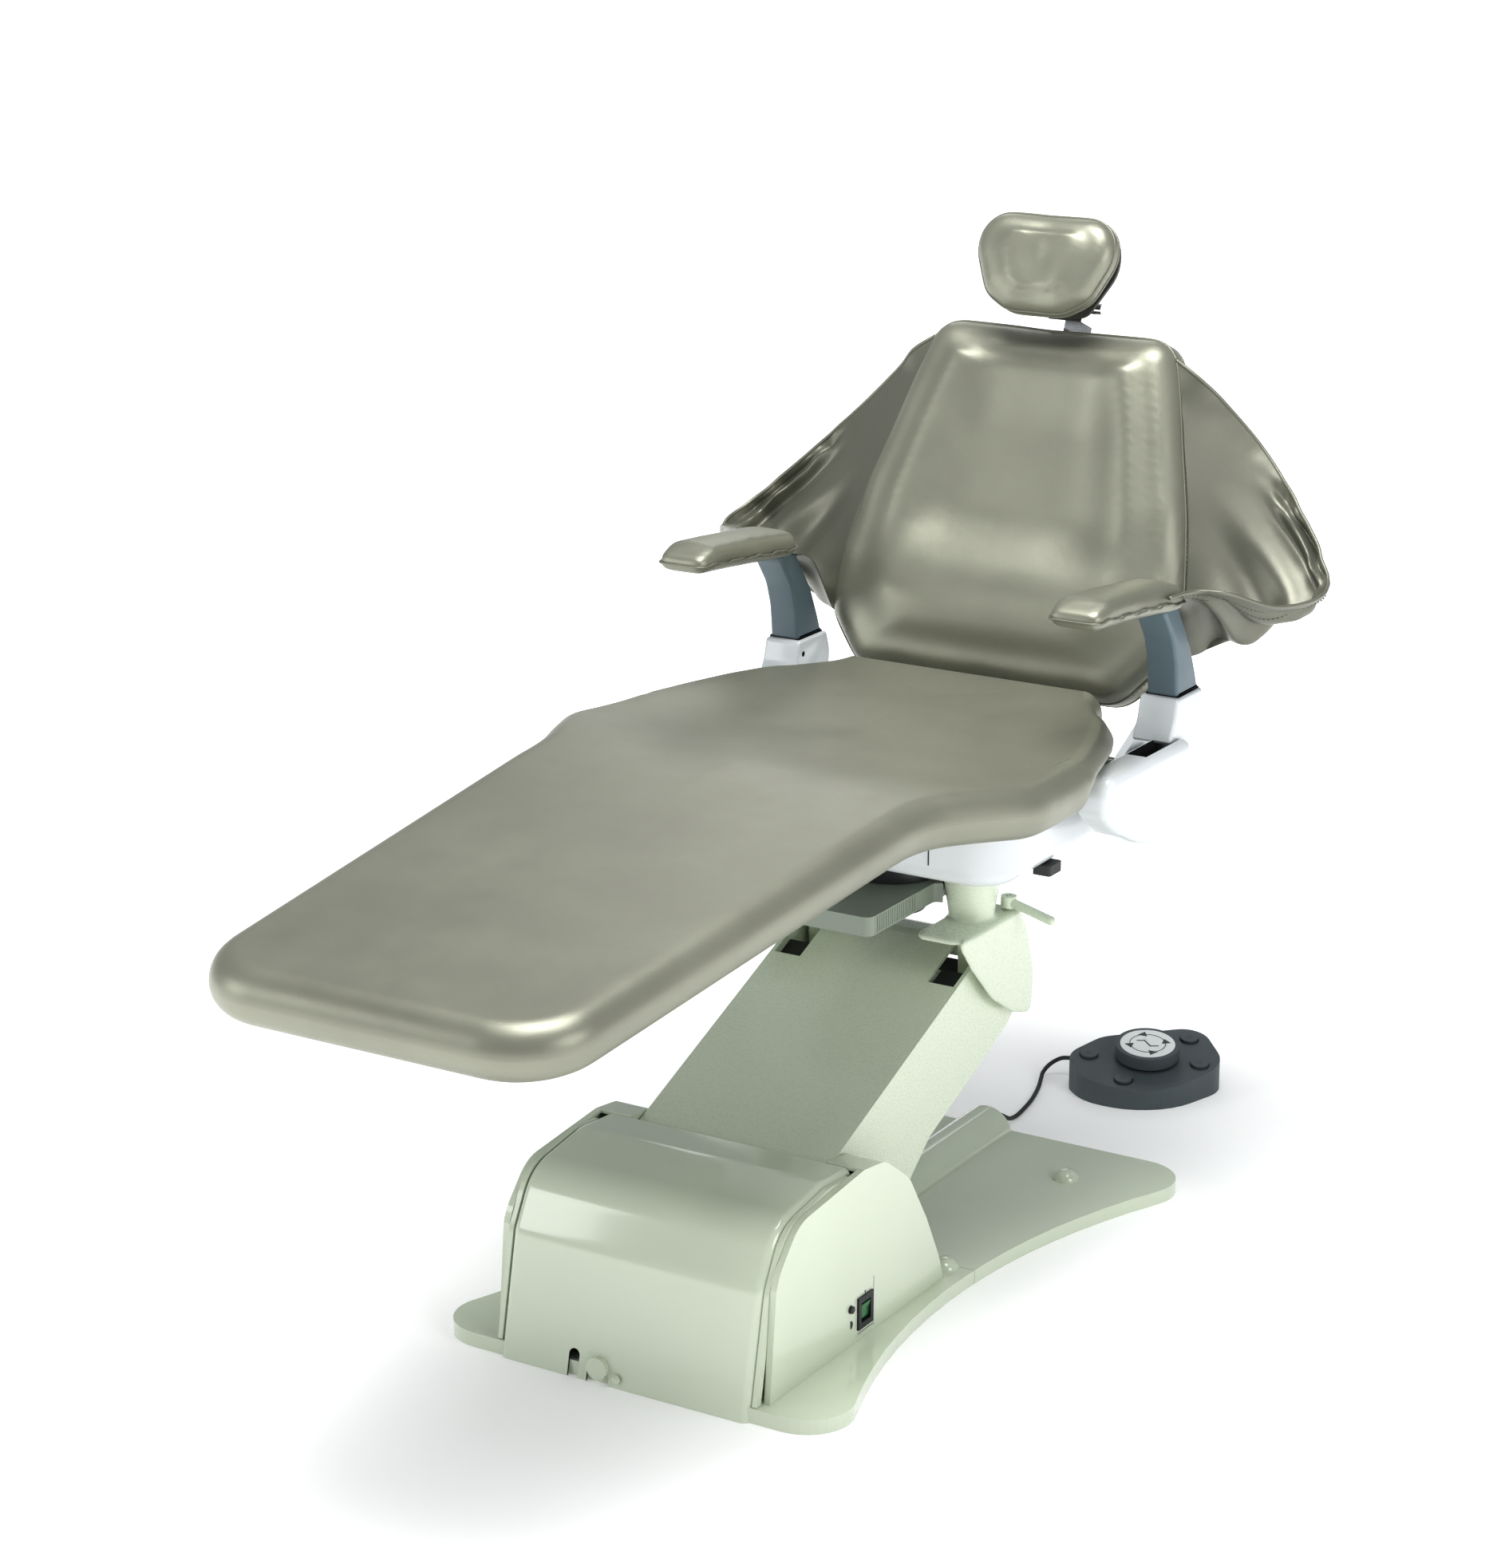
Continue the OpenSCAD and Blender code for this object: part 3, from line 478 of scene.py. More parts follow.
def stitches(name, path, body, material=None, pitch=7.0, length=4.2, radius=0.55):
    """A row of thread dashes lying along a 3-D path, each slightly sunk at its ends."""
    line = np.array(path, float)
    total = np.linalg.norm(np.diff(line, axis=0), axis=1).sum()
    count = max(2, int(total / pitch))
    points = resample(line, count + 1, closed=False)
    verts, faces = [], []
    sides = 6
    for i in range(count):
        a = points[i]
        t = points[i + 1] - a
        gap = np.linalg.norm(t)
        if gap < 1e-6:
            continue
        t = t / gap
        side = np.cross(t, (0.3, 0.2, 0.93))
        side /= np.linalg.norm(side)
        other = np.cross(side, t)
        base = len(verts)
        for u, r in ((0.0, 0.35), (0.2, 1.0), (0.8, 1.0), (1.0, 0.35)):
            c = a + t * length * u
            verts += [tuple(c + radius * r * (math.cos(w) * side + math.sin(w) * other))
                      for w in np.linspace(0, 2 * math.pi, sides, endpoint=False)]
        for k in range(3):
            for j in range(sides):
                m = (j + 1) % sides
                faces.append((base + k * sides + j, base + k * sides + m,
                              base + (k + 1) * sides + m, base + (k + 1) * sides + j))
        faces.append(tuple(base + j for j in range(sides)))
        faces.append(tuple(base + 3 * sides + j for j in range(sides)))
    obj = new_object(name, verts, faces, material or THREAD)
    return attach(obj, body) if body else obj


def on_back(p):
    """From the back's own frame (x, forward, up) to the chair's."""
    x, t, s = p[0], p[1], p[2]
    return np.array((x, HINGE[1] - t * math.cos(RECLINE) + s * math.sin(RECLINE),
                     HINGE[2] + t * math.sin(RECLINE) + s * math.cos(RECLINE)))


def on_foot(p):
    """From the foot control's flat frame to the chair's."""
    x, y, z = p
    c, s = math.cos(FOOT_TURN), math.sin(FOOT_TURN)
    return np.array((FOOT_AT[0] + x * c - y * s, FOOT_AT[1] + x * s + y * c, z))


def on_foot_top(p):
    """From the foot control's sloping top to the chair's frame."""
    x, y, z = p
    c, s = math.cos(FOOT_SLOPE), math.sin(FOOT_SLOPE)
    return on_foot((x, y * c - z * s, FOOT_TOP + y * s + z * c))


def smoothstep(x, low, high):
    t = np.clip((x - low) / (high - low), 0.0, 1.0)
    return t * t * (3 - 2 * t)


# ------------------------------------------------------------------ foot cord

CORD = [(0, 308, 28), (0, 322, 28), (1, 338, 24), (2, 352, 16), (2, 366, 8.5), (1, 382, 4.5), (0, 400, 3.4),
        (-4, 430, 3.4), (-10, 462, 3.4), (-18, 492, 3.4), (-27, 520, 3.4), (-36, 544, 5), (-41, 560, 9),
        (-40, 574, 15), (-34, 585, 21), (-24, 592, 26), (-10, 594, 28), (-4, 594, 28)]
CORD_DIAMETER = 6.5


def foot_cord():
    route = catmull(CORD, 5)
    cord = tube("foot_cord_sheath", route, CORD_DIAMETER / 2, RUBBER, sides=14)
    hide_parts("foot_cord")
    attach(cord, "base")


foot_cord()

# ------------------------------------------------------------------ kept CAD nodes

# node: (material, bevel width in mm)
KEPT = {
    "base_plate_front": (COVER, 5.0), "base_plate_rear": (COVER, 5.0), "anchor_caps": (COVER, 0.0),
    "side_cover_left": (COVER, 3.0), "side_cover_right": (COVER, 3.0), "cover_trims": (COVER, 1.2),
    "service_cap": (COVER, 1.0), "base_frame": (STEEL, 0.8), "arm_pivot_shaft": (STEEL, 1.0),
    "pump_unit": (DARK_METAL, 1.5), "oil_tank": (CREAM_PAINT_SHADED, 2.0), "conduit_cover": (COVER, 1.0),
    "cord_gland": (BLACK, 0.6), "switch_bezel": (BLACK, 0.8), "power_rocker": (GREEN, 0.5),
    "reset_button": (BLACK, 0.8), "lift_arm": (CREAM_PAINT, 2.4), "parallel_links": (STEEL, 1.0),
    "head_yoke": (CREAM_PAINT, 4.0), "head_top_plate": (CREAM_PAINT_SHADED, 1.5), "head_wings": (CREAM_PAINT, 2.4),
    "head_pivot_shaft": (STEEL, 0.8), "swivel_cap": (DARK_METAL, 1.2), "cylinder_barrel": (DARK_METAL, 1.0),
    "piston_rod": (CHROME, 0.6), "brake_lever": (CREAM_PAINT, 0.0), "swivel_bearing": (DARK_METAL, 1.5),
    "recline_shaft": (CHROME, 1.0), "rubber_stop": (RUBBER, 1.0), "seat_board": (SHELL, 2.0),
    "backrest_frame": (WHITE_PAINT, 1.5), "backrest_shell": (SHELL, 3.0),
    "headrest_bar": (CHROME, 1.2), "headrest_arm": (CHROME, 1.0), "headrest_shell": (SHELL, 1.5),
    "foot_control_body": (SLATE, 6.0), "foot_gimbal": (STEEL, 0.5), "foot_disc": (SLATE, 2.5),
    "foot_button_1": (SLATE, 1.6), "foot_button_2": (SLATE, 1.6), "foot_button_3": (SLATE, 1.6),
    "foot_button_4": (SLATE, 1.6),
}


def dress(node, material, width):
    """Material, smooth shading and rounded edges for a CAD node that keeps its shape."""
    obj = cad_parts[node]
    mesh = obj.data
    mesh.materials.clear()
    mesh.materials.append(material)
    for polygon in mesh.polygons:
        polygon.use_smooth = True
        polygon.material_index = 0
    mesh.set_sharp_from_angle(angle=math.radians(32.0))
    if width:
        bevel(obj, width, 3, 32.0)
        obj.modifiers["bevel"].harden_normals = True


for node, (material, width) in KEPT.items():
    dress(node, material, width)

# ------------------------------------------------------------------ rounded solids


def counter_clockwise(outline):
    p = np.array(outline, float)
    area = np.sum(p[:, 0] * np.roll(p[:, 1], -1) - np.roll(p[:, 0], -1) * p[:, 1])
    return p if area > 0 else p[::-1]


def rounded_slab(name, outline, x0, x1, r0, r1, material, spacing=4.0, steps=5):
    """A side-view outline between x0 and x1, its edges rounded with r0 at x0 and r1 at x1."""
    p = counter_clockwise(outline)
    around = np.linalg.norm(np.roll(p, -1, axis=0) - p, axis=1).sum()
    p = resample(p, int(around / spacing))
    rings = []
    for k in range(steps + 1):
        a = math.radians(90.0 * k / steps)
        q = inward(p, r0 * (1 - math.sin(a)))
        rings.append([(x0 + r0 * (1 - math.cos(a)), y, z) for y, z in q])
    for k in range(steps, -1, -1):
        a = math.radians(90.0 * k / steps)
        q = inward(p, r1 * (1 - math.sin(a)))
        rings.append([(x1 - r1 * (1 - math.cos(a)), y, z) for y, z in q])
    obj = skin(name, rings, material)
    obj.data.set_sharp_from_angle(angle=math.radians(40.0))
    return obj


def cut(obj, cutters):
    """Boolean difference, applied; cutters are removed."""
    for cutter in cutters:
        modifier = obj.modifiers.new("cut", "BOOLEAN")
        modifier.object = cutter
        modifier.solver = "EXACT"
        modifier.material_mode = "TRANSFER"
    bake_modifiers(obj)
    for cutter in cutters:
        bpy.data.objects.remove(cutter)
    obj.data.set_sharp_from_angle(angle=math.radians(35.0))
    return obj


def block(name, low, high, material):
    """A plain box used only to cut openings."""
    (a, b, c), (d, e, f) = low, high
    verts = [(x, y, z) for x in (a, d) for y in (b, e) for z in (c, f)]
    faces = [(0, 1, 3, 2), (4, 6, 7, 5), (0, 4, 5, 1), (2, 3, 7, 6), (0, 2, 6, 4), (1, 5, 7, 3)]
    return new_object(name, verts, faces, material, False)


def mirror_x(obj, name):
    """A mirrored copy of an object about the YZ plane."""
    mesh = obj.data.copy()
    work = bmesh.new()
    work.from_mesh(mesh)
    bmesh.ops.scale(work, vec=(-1, 1, 1), verts=work.verts)
    bmesh.ops.reverse_faces(work, faces=work.faces)
    work.to_mesh(mesh)
    work.free()
    twin = bpy.data.objects.new(name, mesh)
    bpy.context.scene.collection.objects.link(twin)
    return twin


FRONT_PROFILE = [
    (-687, 0, 0), (-652, 168, 50), (-612, 240, 70), (-500, 257, 60), (-433, 252, 0), (-433, 0, 0),
]
FRONT_HALF = 188.0
FRONT_ROUND = 13.0
FRONT_WALL = 3.2


def front_cover():
    """Thin moulded hood over the pump, with rounded sides and two cable notches."""
    outline = rounded(FRONT_PROFILE, 14)[:-1]  # without the rear bottom corner
    path = resample(outline, 110, closed=False)
    t = np.gradient(path, axis=0)
    t /= np.linalg.norm(t, axis=1)[:, None]
    inner = np.stack([t[:, 1], -t[:, 0]], axis=1)
    inner[0] = (1.0, 0.0)  # the bottom edge stays on the floor
    rings = []
    for side in (-1, 1):
        angles = range(9) if side < 0 else range(8, -1, -1)
        for k in angles:
            a = math.radians(90.0 * k / 8)
            q = path + FRONT_ROUND * (1 - math.sin(a)) * inner
            q[:, 1] = np.maximum(q[:, 1], 0.0)
            x = side * (FRONT_HALF - FRONT_ROUND * (1 - math.cos(a)))
            rings.append([(x, y, z) for y, z in q])
    count = len(path)
    verts = np.vstack([np.array(r) for r in rings]).tolist()
    faces = grid_faces(len(rings), count, False)
    corner = len(verts)
    verts += [(-FRONT_HALF, -433, 0), (FRONT_HALF, -433, 0)]
    last = (len(rings) - 1) * count
    faces.append(tuple(range(count)) + (corner,))
    faces.append(tuple(last + i for i in range(count)) + (corner + 1,))
    cover = new_object("base_front_hood", verts, faces, COVER)
    solid = cover.modifiers.new("wall", "SOLIDIFY")
    solid.thickness = FRONT_WALL * MM
    solid.offset = -1
    bake_modifiers(cover)
    # The cutters are black and pass their material to the cut faces, so the rims of the notches come out
    # black: painted shade in the notches.
    slot = block("cut_slot", (-82, -700, -5), (-66, -640, 29), BLACK)
    arch = tube("cut_arch", [(-74, -700, 29), (-74, -640, 29)], 8.0, BLACK, sides=32)
    wide = block("cut_wide", (-53, -700, -5), (-20, -640, 38), BLACK)
    cut(cover, [slot, arch, wide])
    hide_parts("base_front_cover")
    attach(cover, "base")


front_cover()


def notch_plate():
    """Cream tab that closes the wide notch down to the round cap, so only its foot is open."""
    tab = rounded([(-53.2, 13, 0), (-19.8, 13, 0), (-19.8, 38.4, 0), (-53.2, 38.4, 0)], 3)
    p = counter_clockwise(tab)
    plate = skin("notch_tab", [[(x, -687.2 + z * 0.2, z) for x, z in p],
                               [(x, -683.0 + z * 0.2, z) for x, z in p]],
                 COVER, smooth=False)
    bevel(plate, 0.6, 2)
    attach(plate, "base")


notch_plate()

ARM_PIVOT = (-420.0, 160.0)
HEAD_PIVOT = (30.0, 344.0)
ARM_ANGLE = math.atan2(HEAD_PIVOT[1] - ARM_PIVOT[1], HEAD_PIVOT[0] - ARM_PIVOT[0])


def along_arm(s, up):
    """Side-view point at distance s from the head pivot along the arm, and up from its axis."""
    c, d = math.cos(ARM_ANGLE), math.sin(ARM_ANGLE)
    return (HEAD_PIVOT[0] + s * c - up * d, HEAD_PIVOT[1] + s * d + up * c)


def slot_shadows():
    """Black sheets of painted shade: under the two slots in the top of the arm, behind the head's lugs and
    across the open end of the arm at the head pivot, where the inside lies in shade.
    """
    for side, name in ((1, "right"), (-1, "left")):
        corners = [along_arm(-90, 57), along_arm(-43, 57), along_arm(-43, 61), along_arm(-90, 61)]
        slot_shade_sheet = rounded_slab("arm_slot_painted_shade_" + name, corners, min(side * 99, side * 141.8),
                             max(side * 99, side * 141.8), 0.3, 0.3, BLACK, spacing=3, steps=2)
        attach(slot_shade_sheet, "lift_arm")
        lug_shade_sheet = rounded_slab("head_lug_back_" + name, [(58, 330), (64, 330), (64, 428), (58, 428)],
                               min(side * 101, side * 140.5), max(side * 101, side * 140.5), 0.3, 0.3, BLACK,
                               spacing=3, steps=2)
        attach(lug_shade_sheet, "head")
    # The arm's open end at the head pivot is closed with a black sheet too: painted shade.
    outer = [(HEAD_PIVOT[0] + 59 * math.cos(a), HEAD_PIVOT[1] + 59 * math.sin(a))
             for a in np.linspace(-0.24, 0.2, 6)]
    inner = [(HEAD_PIVOT[0] + 56 * math.cos(a), HEAD_PIVOT[1] + 56 * math.sin(a))
             for a in np.linspace(0.2, -0.24, 6)]
    end_shade_sheet = rounded_slab("arm_end_painted_shade", outer + inner, -98, 98, 0.3, 0.3, BLACK, spacing=3, steps=2)
    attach(end_shade_sheet, "lift_arm")


slot_shadows()


def head_casting():
    """Yoke and side guards as one smooth casting, from copies of their solids."""
    parts = []
    for node in ("head_yoke", "head_wings"):
        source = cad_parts[node]
        copy = bpy.data.objects.new(node + "_copy", source.data.copy())
        bpy.context.scene.collection.objects.link(copy)
        parts.append(copy)
    for side in (1, -1):
        web = [(-70, 452), (-62, 440), (-4, 432), (60, 432), (78, 440), (78, 452)]
        parts.append(rounded_slab("web", [(y, z) for y, z in web], min(side * 140, side * 164),
                                  max(side * 140, side * 164), 1, 1, CREAM_PAINT, spacing=3, steps=2))
    casting = join("head_casting", parts, CREAM_PAINT)
    remesh = casting.modifiers.new("remesh", "REMESH")
    remesh.mode = "VOXEL"
    remesh.voxel_size = 2.6 * MM
    bake_modifiers(casting)
    soften = casting.modifiers.new("soften", "SMOOTH")
    soften.factor = 0.5
    soften.iterations = 16
    bake_modifiers(casting)
    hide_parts("head_yoke", "head_wings")
    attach(casting, "head")


head_casting()

# ------------------------------------------------------------------ seat tub, pods, sockets and posts

SEAT_Z = 550.0
SEAT_TOP = 648.0


def seat_tub():
    """White moulded tub under the seat: round at its lower edge, open at the rear."""
    outline = rounded([(-250, -160, 60), (250, -160, 60), (250, 300, 24), (-250, 300, 24)], 14)
    outline = resample(counter_clockwise(outline), 260)
    r = 26.0
    rings = []
    for k in range(9):
        a = math.radians(90.0 * k / 8)
        rings.append([(x, y, SEAT_Z + r * (1 - math.sin(a)))
                      for x, y in inward(outline, r * (1 - math.cos(a)))])
    rings = rings[::-1]
    for z in (600, 630, SEAT_TOP):
        rings.append([(x, y, z) for x, y in outline])
    rings.append([(x, y, SEAT_TOP) for x, y in inward(outline, 5)])
    for z in (620, 590, SEAT_Z + 14):
        rings.append([(x, y, z) for x, y in inward(outline, 5)])
    rings.append([(x, y, SEAT_Z + 8) for x, y in inward(outline, 14)])
    tub = skin("seat_tub", rings, WHITE)
    rear = block("cut_rear", (-244, 262, SEAT_Z + 12), (244, 330, 700), WHITE)
    cut(tub, [rear])
    groove = tube("seat_tub_parting", [(144.5, -160.2, 576), (144.5, -160.2, 650)], 0.9, BLACK, sides=8)
    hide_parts("seat_frame")
    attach(tub, "seat")
    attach(groove, "seat")
    bracket = rounded([(-120, 557, 0), (210, 557, 0), (210, 650, 10), (-120, 650, 10)], 5)
    for side in (-1, 1):
        rail = rounded_slab("seat_rail_%s" % ("left" if side < 0 else "right"), bracket,
                            min(side * 150, side * 162), max(side * 150, side * 162), 1.5, 1.5, WHITE_PAINT)
        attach(rail, "seat")


seat_tub()

POD = [
    (-36, 668, 12), (-38, 640, 20), (-15, 620, 30), (16, 600, 60), (66, 577, 80), (116, 561, 80),
    (167, 553, 60), (222, 552, 40), (262, 566, 40), (276, 600, 40), (250, 655, 30), (214, 687, 16),
    (-20, 689, 14),
]
SOCKET = [
    (182, 684, 4), (198, 712, 40), (206, 742, 6), (284, 742, 6), (294, 714, 40), (290, 662, 8),
    (236, 668, 4),
]
POST = [
    (213, 742, 0), (208, 790, 60), (196, 826, 60), (172, 859, 30), (158, 876, 6), (206, 874, 8),
    (226, 846, 40), (250, 812, 60), (270, 768, 60), (280, 742, 0),
]


def arm_parts():
    """Side pods on the seat, and the socket and post of each armrest, right-hand first and then mirrored."""
    pod = rounded_slab("pod_shell_right", rounded(POD, 14), 297, 345, 7, 15, WHITE)
    cut(pod, [block("cut_top", (303, 100, 648), (332, 290, 720), BLACK),
              block("cut_well", (303, 185, 606), (332, 300, 649), BLACK)])
    hub = tube("pod_hub_right", [(x, HINGE[1], HINGE[2]) for x in (251, 254, 300)],
               26.0, WHITE, sides=64)
    socket = rounded_slab("armrest_socket_shell_right", rounded(SOCKET, 10), 270, 328, 4, 5, WHITE)
    cut(socket, [tube("cut_screw", [(266, 216, 722), (272.5, 216, 722)], 4.0, BLACK, sides=24)])
    neck = rounded([(235 + 20 * math.cos(a), 625 + 20 * math.sin(a), 0) for a in np.linspace(-3.3, -0.1, 14)]
                   + [(243, 672, 6), (217, 672, 6)], 4)
    knuckle = rounded_slab("armrest_knuckle_right", neck, 306, 328, 2, 2, CHROME, spacing=2.5)
    seam = rounded([(212, 741, 3), (280, 741, 3), (280, 745, 3), (212, 745, 3)], 3)
    joint = rounded_slab("armrest_collar_right", seam, 276, 324, 1, 1, BLACK, spacing=3)
    post = rounded_slab("armrest_post_shell_right", rounded(POST, 12), 277, 323, 5, 5, POST_GREY, spacing=3)
    for right, body, replaced, slot in (
            (pod, "seat", "pod_{}", "white_plastic"), (hub, "seat", None, "white_plastic"),
            (socket, "armrest_{}", "armrest_socket_{}", "white_plastic"),
            (knuckle, "armrest_{}", None, "steel"), (joint, "armrest_{}", None, "dark_plastic"),
            (post, "armrest_{}", "armrest_post_{}", "blue_grey")):
        left = mirror_x(right, right.name.replace("_right", "_left"))
        for side, obj in (("right", right), ("left", left)):
            if replaced:
                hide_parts(replaced.format(side))
            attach(obj, body.format(side))


arm_parts()

# ------------------------------------------------------------------ upholstery


def cushion(name, outline, profile, centre, place, front, inner_rings, material=VINYL):
    """A closed cushion skin. The profile is a list of (inset, height) from the back face round to the front
    face; centre gives the point on the middle line that a rim point runs in to; front gives the height of the
    front face over its plan; place turns (x, y, height) into the chair's frame."""
    outline = counter_clockwise(outline)
    back_height = profile[0][1]
    rings = []
    rim = inward(outline, profile[0][0])
    for s in inner_rings[::-1]:
        rings.append([(*(p * (1 - s) + np.array(centre(p)) * s), back_height) for p in rim])
    for inset, height in profile:
        rings.append([(x, y, height) for x, y in inward(outline, inset)])
    rim = inward(outline, profile[-1][0])
    edge_height = profile[-1][1]
    for s in inner_rings:
        ring = []
        for p in rim:
            q = p * (1 - s) + np.array(centre(p)) * s
            ring.append((q[0], q[1], edge_height + front(q[0], q[1], s)))
        rings.append(ring)
    placed = [[place(p) for p in ring] for ring in rings]
    obj = skin(name, placed, material, cap=False)
    weld(obj, 0.2)
    return obj


def round_edge(low, high, r, steps=6, squeeze=0.0):
    """(inset, height) pairs for a rim rounded by r at both faces; squeeze pulls the side's middle in."""
    out = [(r * (1 - math.cos(a)), low + r * (1 - math.sin(a)))
           for a in np.linspace(math.pi / 2, 0, steps + 1)]
    if high - low > 2 * r + 4:
        out.append((squeeze, (low + high) / 2))
    out += [(r * (1 - math.cos(a)), high - r * (1 - math.sin(a)))
            for a in np.linspace(0, math.pi / 2, steps + 1)]
    return out


def eased(obj, move, rounds):
    """Evens out a field of moves over the edges of a mesh, so that no puckers are left."""
    ends = np.empty(len(obj.data.edges) * 2, dtype=np.int64)
    obj.data.edges.foreach_get("vertices", ends)
    a, b = ends.reshape(-1, 2).T
    count = np.bincount(a, minlength=len(move)) + np.bincount(b, minlength=len(move))
    for _ in range(rounds):
        near = np.stack([np.bincount(a, move[b, k], len(move)) + np.bincount(b, move[a, k], len(move))
                         for k in range(3)], axis=1)
        move = 0.5 * move + 0.5 * near / np.maximum(count, 1)[:, None]
    return move


def onto(obj, path, lift=0.0):
    """A closed path, in mm, laid on the surface of an object and eased along its length."""
    verts = [v.co.copy() for v in obj.data.vertices]
    tree = BVHTree.FromPolygons(verts, [tuple(p.vertices) for p in obj.data.polygons])
    laid = []
    for p in path:
        point, normal, _, _ = tree.find_nearest(Vector(p) * MM)
        laid.append((point + normal * lift * MM) / MM)
    laid = np.array(laid)
    return [tuple(p) for p in sum(np.roll(laid, k, axis=0) for k in (-2, -1, 0, 1, 2)) / 5]


def inflate(obj, voxel=5.0, pressure=4.0, cap=8.0, frames=18):
    remesh = obj.modifiers.new("remesh", "REMESH")
    remesh.mode = "VOXEL"
    remesh.voxel_size = voxel * MM
    bake_modifiers(obj)
    soften = obj.modifiers.new("soften", "SMOOTH")
    soften.factor = 0.5
    soften.iterations = 6
    bake_modifiers(obj)
    start = np.empty(len(obj.data.vertices) * 3)
    obj.data.vertices.foreach_get("co", start)
    start = start.reshape(-1, 3)
    cloth = obj.modifiers.new("cloth", "CLOTH")
    settings = cloth.settings
    settings.quality = 5
    settings.mass = 0.4
    settings.tension_stiffness = 25
    settings.compression_stiffness = 25
    settings.bending_stiffness = 2.0
    settings.use_pressure = True
    settings.uniform_pressure_force = pressure
    settings.effector_weights.gravity = 0.0
    cloth.collision_settings.use_self_collision = False
    cloth.point_cache.frame_end = frames
    scene = bpy.context.scene
    for f in range(1, frames + 1):
        scene.frame_set(f)
    graph = bpy.context.evaluated_depsgraph_get()
    mesh = obj.evaluated_get(graph).to_mesh()
    end = np.empty(len(mesh.vertices) * 3)
    mesh.vertices.foreach_get("co", end)
    move = end.reshape(-1, 3) - start
    size = np.linalg.norm(move, axis=1)
    move *= np.minimum(1.0, cap * MM / np.maximum(size, 1e-9))[:, None]
    move = eased(obj, move, 24)
    obj.modifiers.clear()
    scene.frame_set(1)
    obj.data.vertices.foreach_set("co", (start + move).ravel())
    obj.data.update()
    return obj


SEAT_OUTLINE = [
    (257, -1207, 105), (294, -430, 220), (364, -270, 120), (352, -92, 60), (296, -56, 24),
    (288, 90, 80), (214, 190, 50), (206, 236, 26),
]
SEAT_MID = [(-1212, 648), (-440, 723), (-360, 719.5), (-280, 708), (-200, 700), (-120, 697), (240, 698)]
SEAT_HALF = 36.0


def seat_height(y):
    """Height of the middle of the seat cushion, with the bends eased."""
    ys, zs = zip(*SEAT_MID)
    return float(np.mean([np.interp(y + k, ys, zs) for k in (-60, -40, -20, 0, 20, 40, 60)]))


def over_notch(x, y, height):
    """The upper half of the seat runs straight over the notch that the lower half has for the pods."""
    if y < -170 or y > 130:
        return x
    r = SEAT_HALF - 0.5
    inset = r - math.sqrt(max(0.0, r * r - height * height))
    line = np.interp(y, (-170, -92, -30, 40, 90, 130), (352, 352, 336, 314, 291, 262)) - inset
    lift = smoothstep(height, -10, 12)
    return math.copysign(abs(x) + lift * max(0.0, line - abs(x)), x)


def seat_cushion():
    outline = symmetric(SEAT_OUTLINE, 14)
    outline = resample(outline, 420)
    profile = round_edge(-SEAT_HALF, SEAT_HALF, SEAT_HALF - 0.5, 9)

    def front(x, y, s):
        crown = 3.0 * math.sin(min(s, 1.0) * math.pi / 2)
        dish = -9.0 * smoothstep(y, -260, -60) * math.exp(-(x / 150.0) ** 2)
        thigh = -3.0 * math.exp(-((abs(x) - 110) / 70.0) ** 2) * smoothstep(y, -700, -350)
        return crown + dish * s + thigh * s

    def place(p):
        x = over_notch(p[0], p[1], p[2]) if abs(p[0]) > 240 else p[0]
        return (x, p[1], p[2] + seat_height(p[1]))

    seat = cushion("seat_upholstery", outline, profile, lambda p: (0.0, min(max(p[1], -1050), 100)),
                   place, front,
                   [0.06, 0.14, 0.24, 0.36, 0.5, 0.64, 0.78, 0.9, 1.0])
    subdivide(seat, 1)
    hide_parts("seat_cushion")
    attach(seat, "seat")


seat_cushion()


def back_outline(d):
    return [(200 + d, 89 - d, 50), (266 + d, 160, 60), (266 + d, 250, 120), (248 + d, 360, 200),
            (204 + d, 520, 200), (178 + d, 596 + d, 46)]


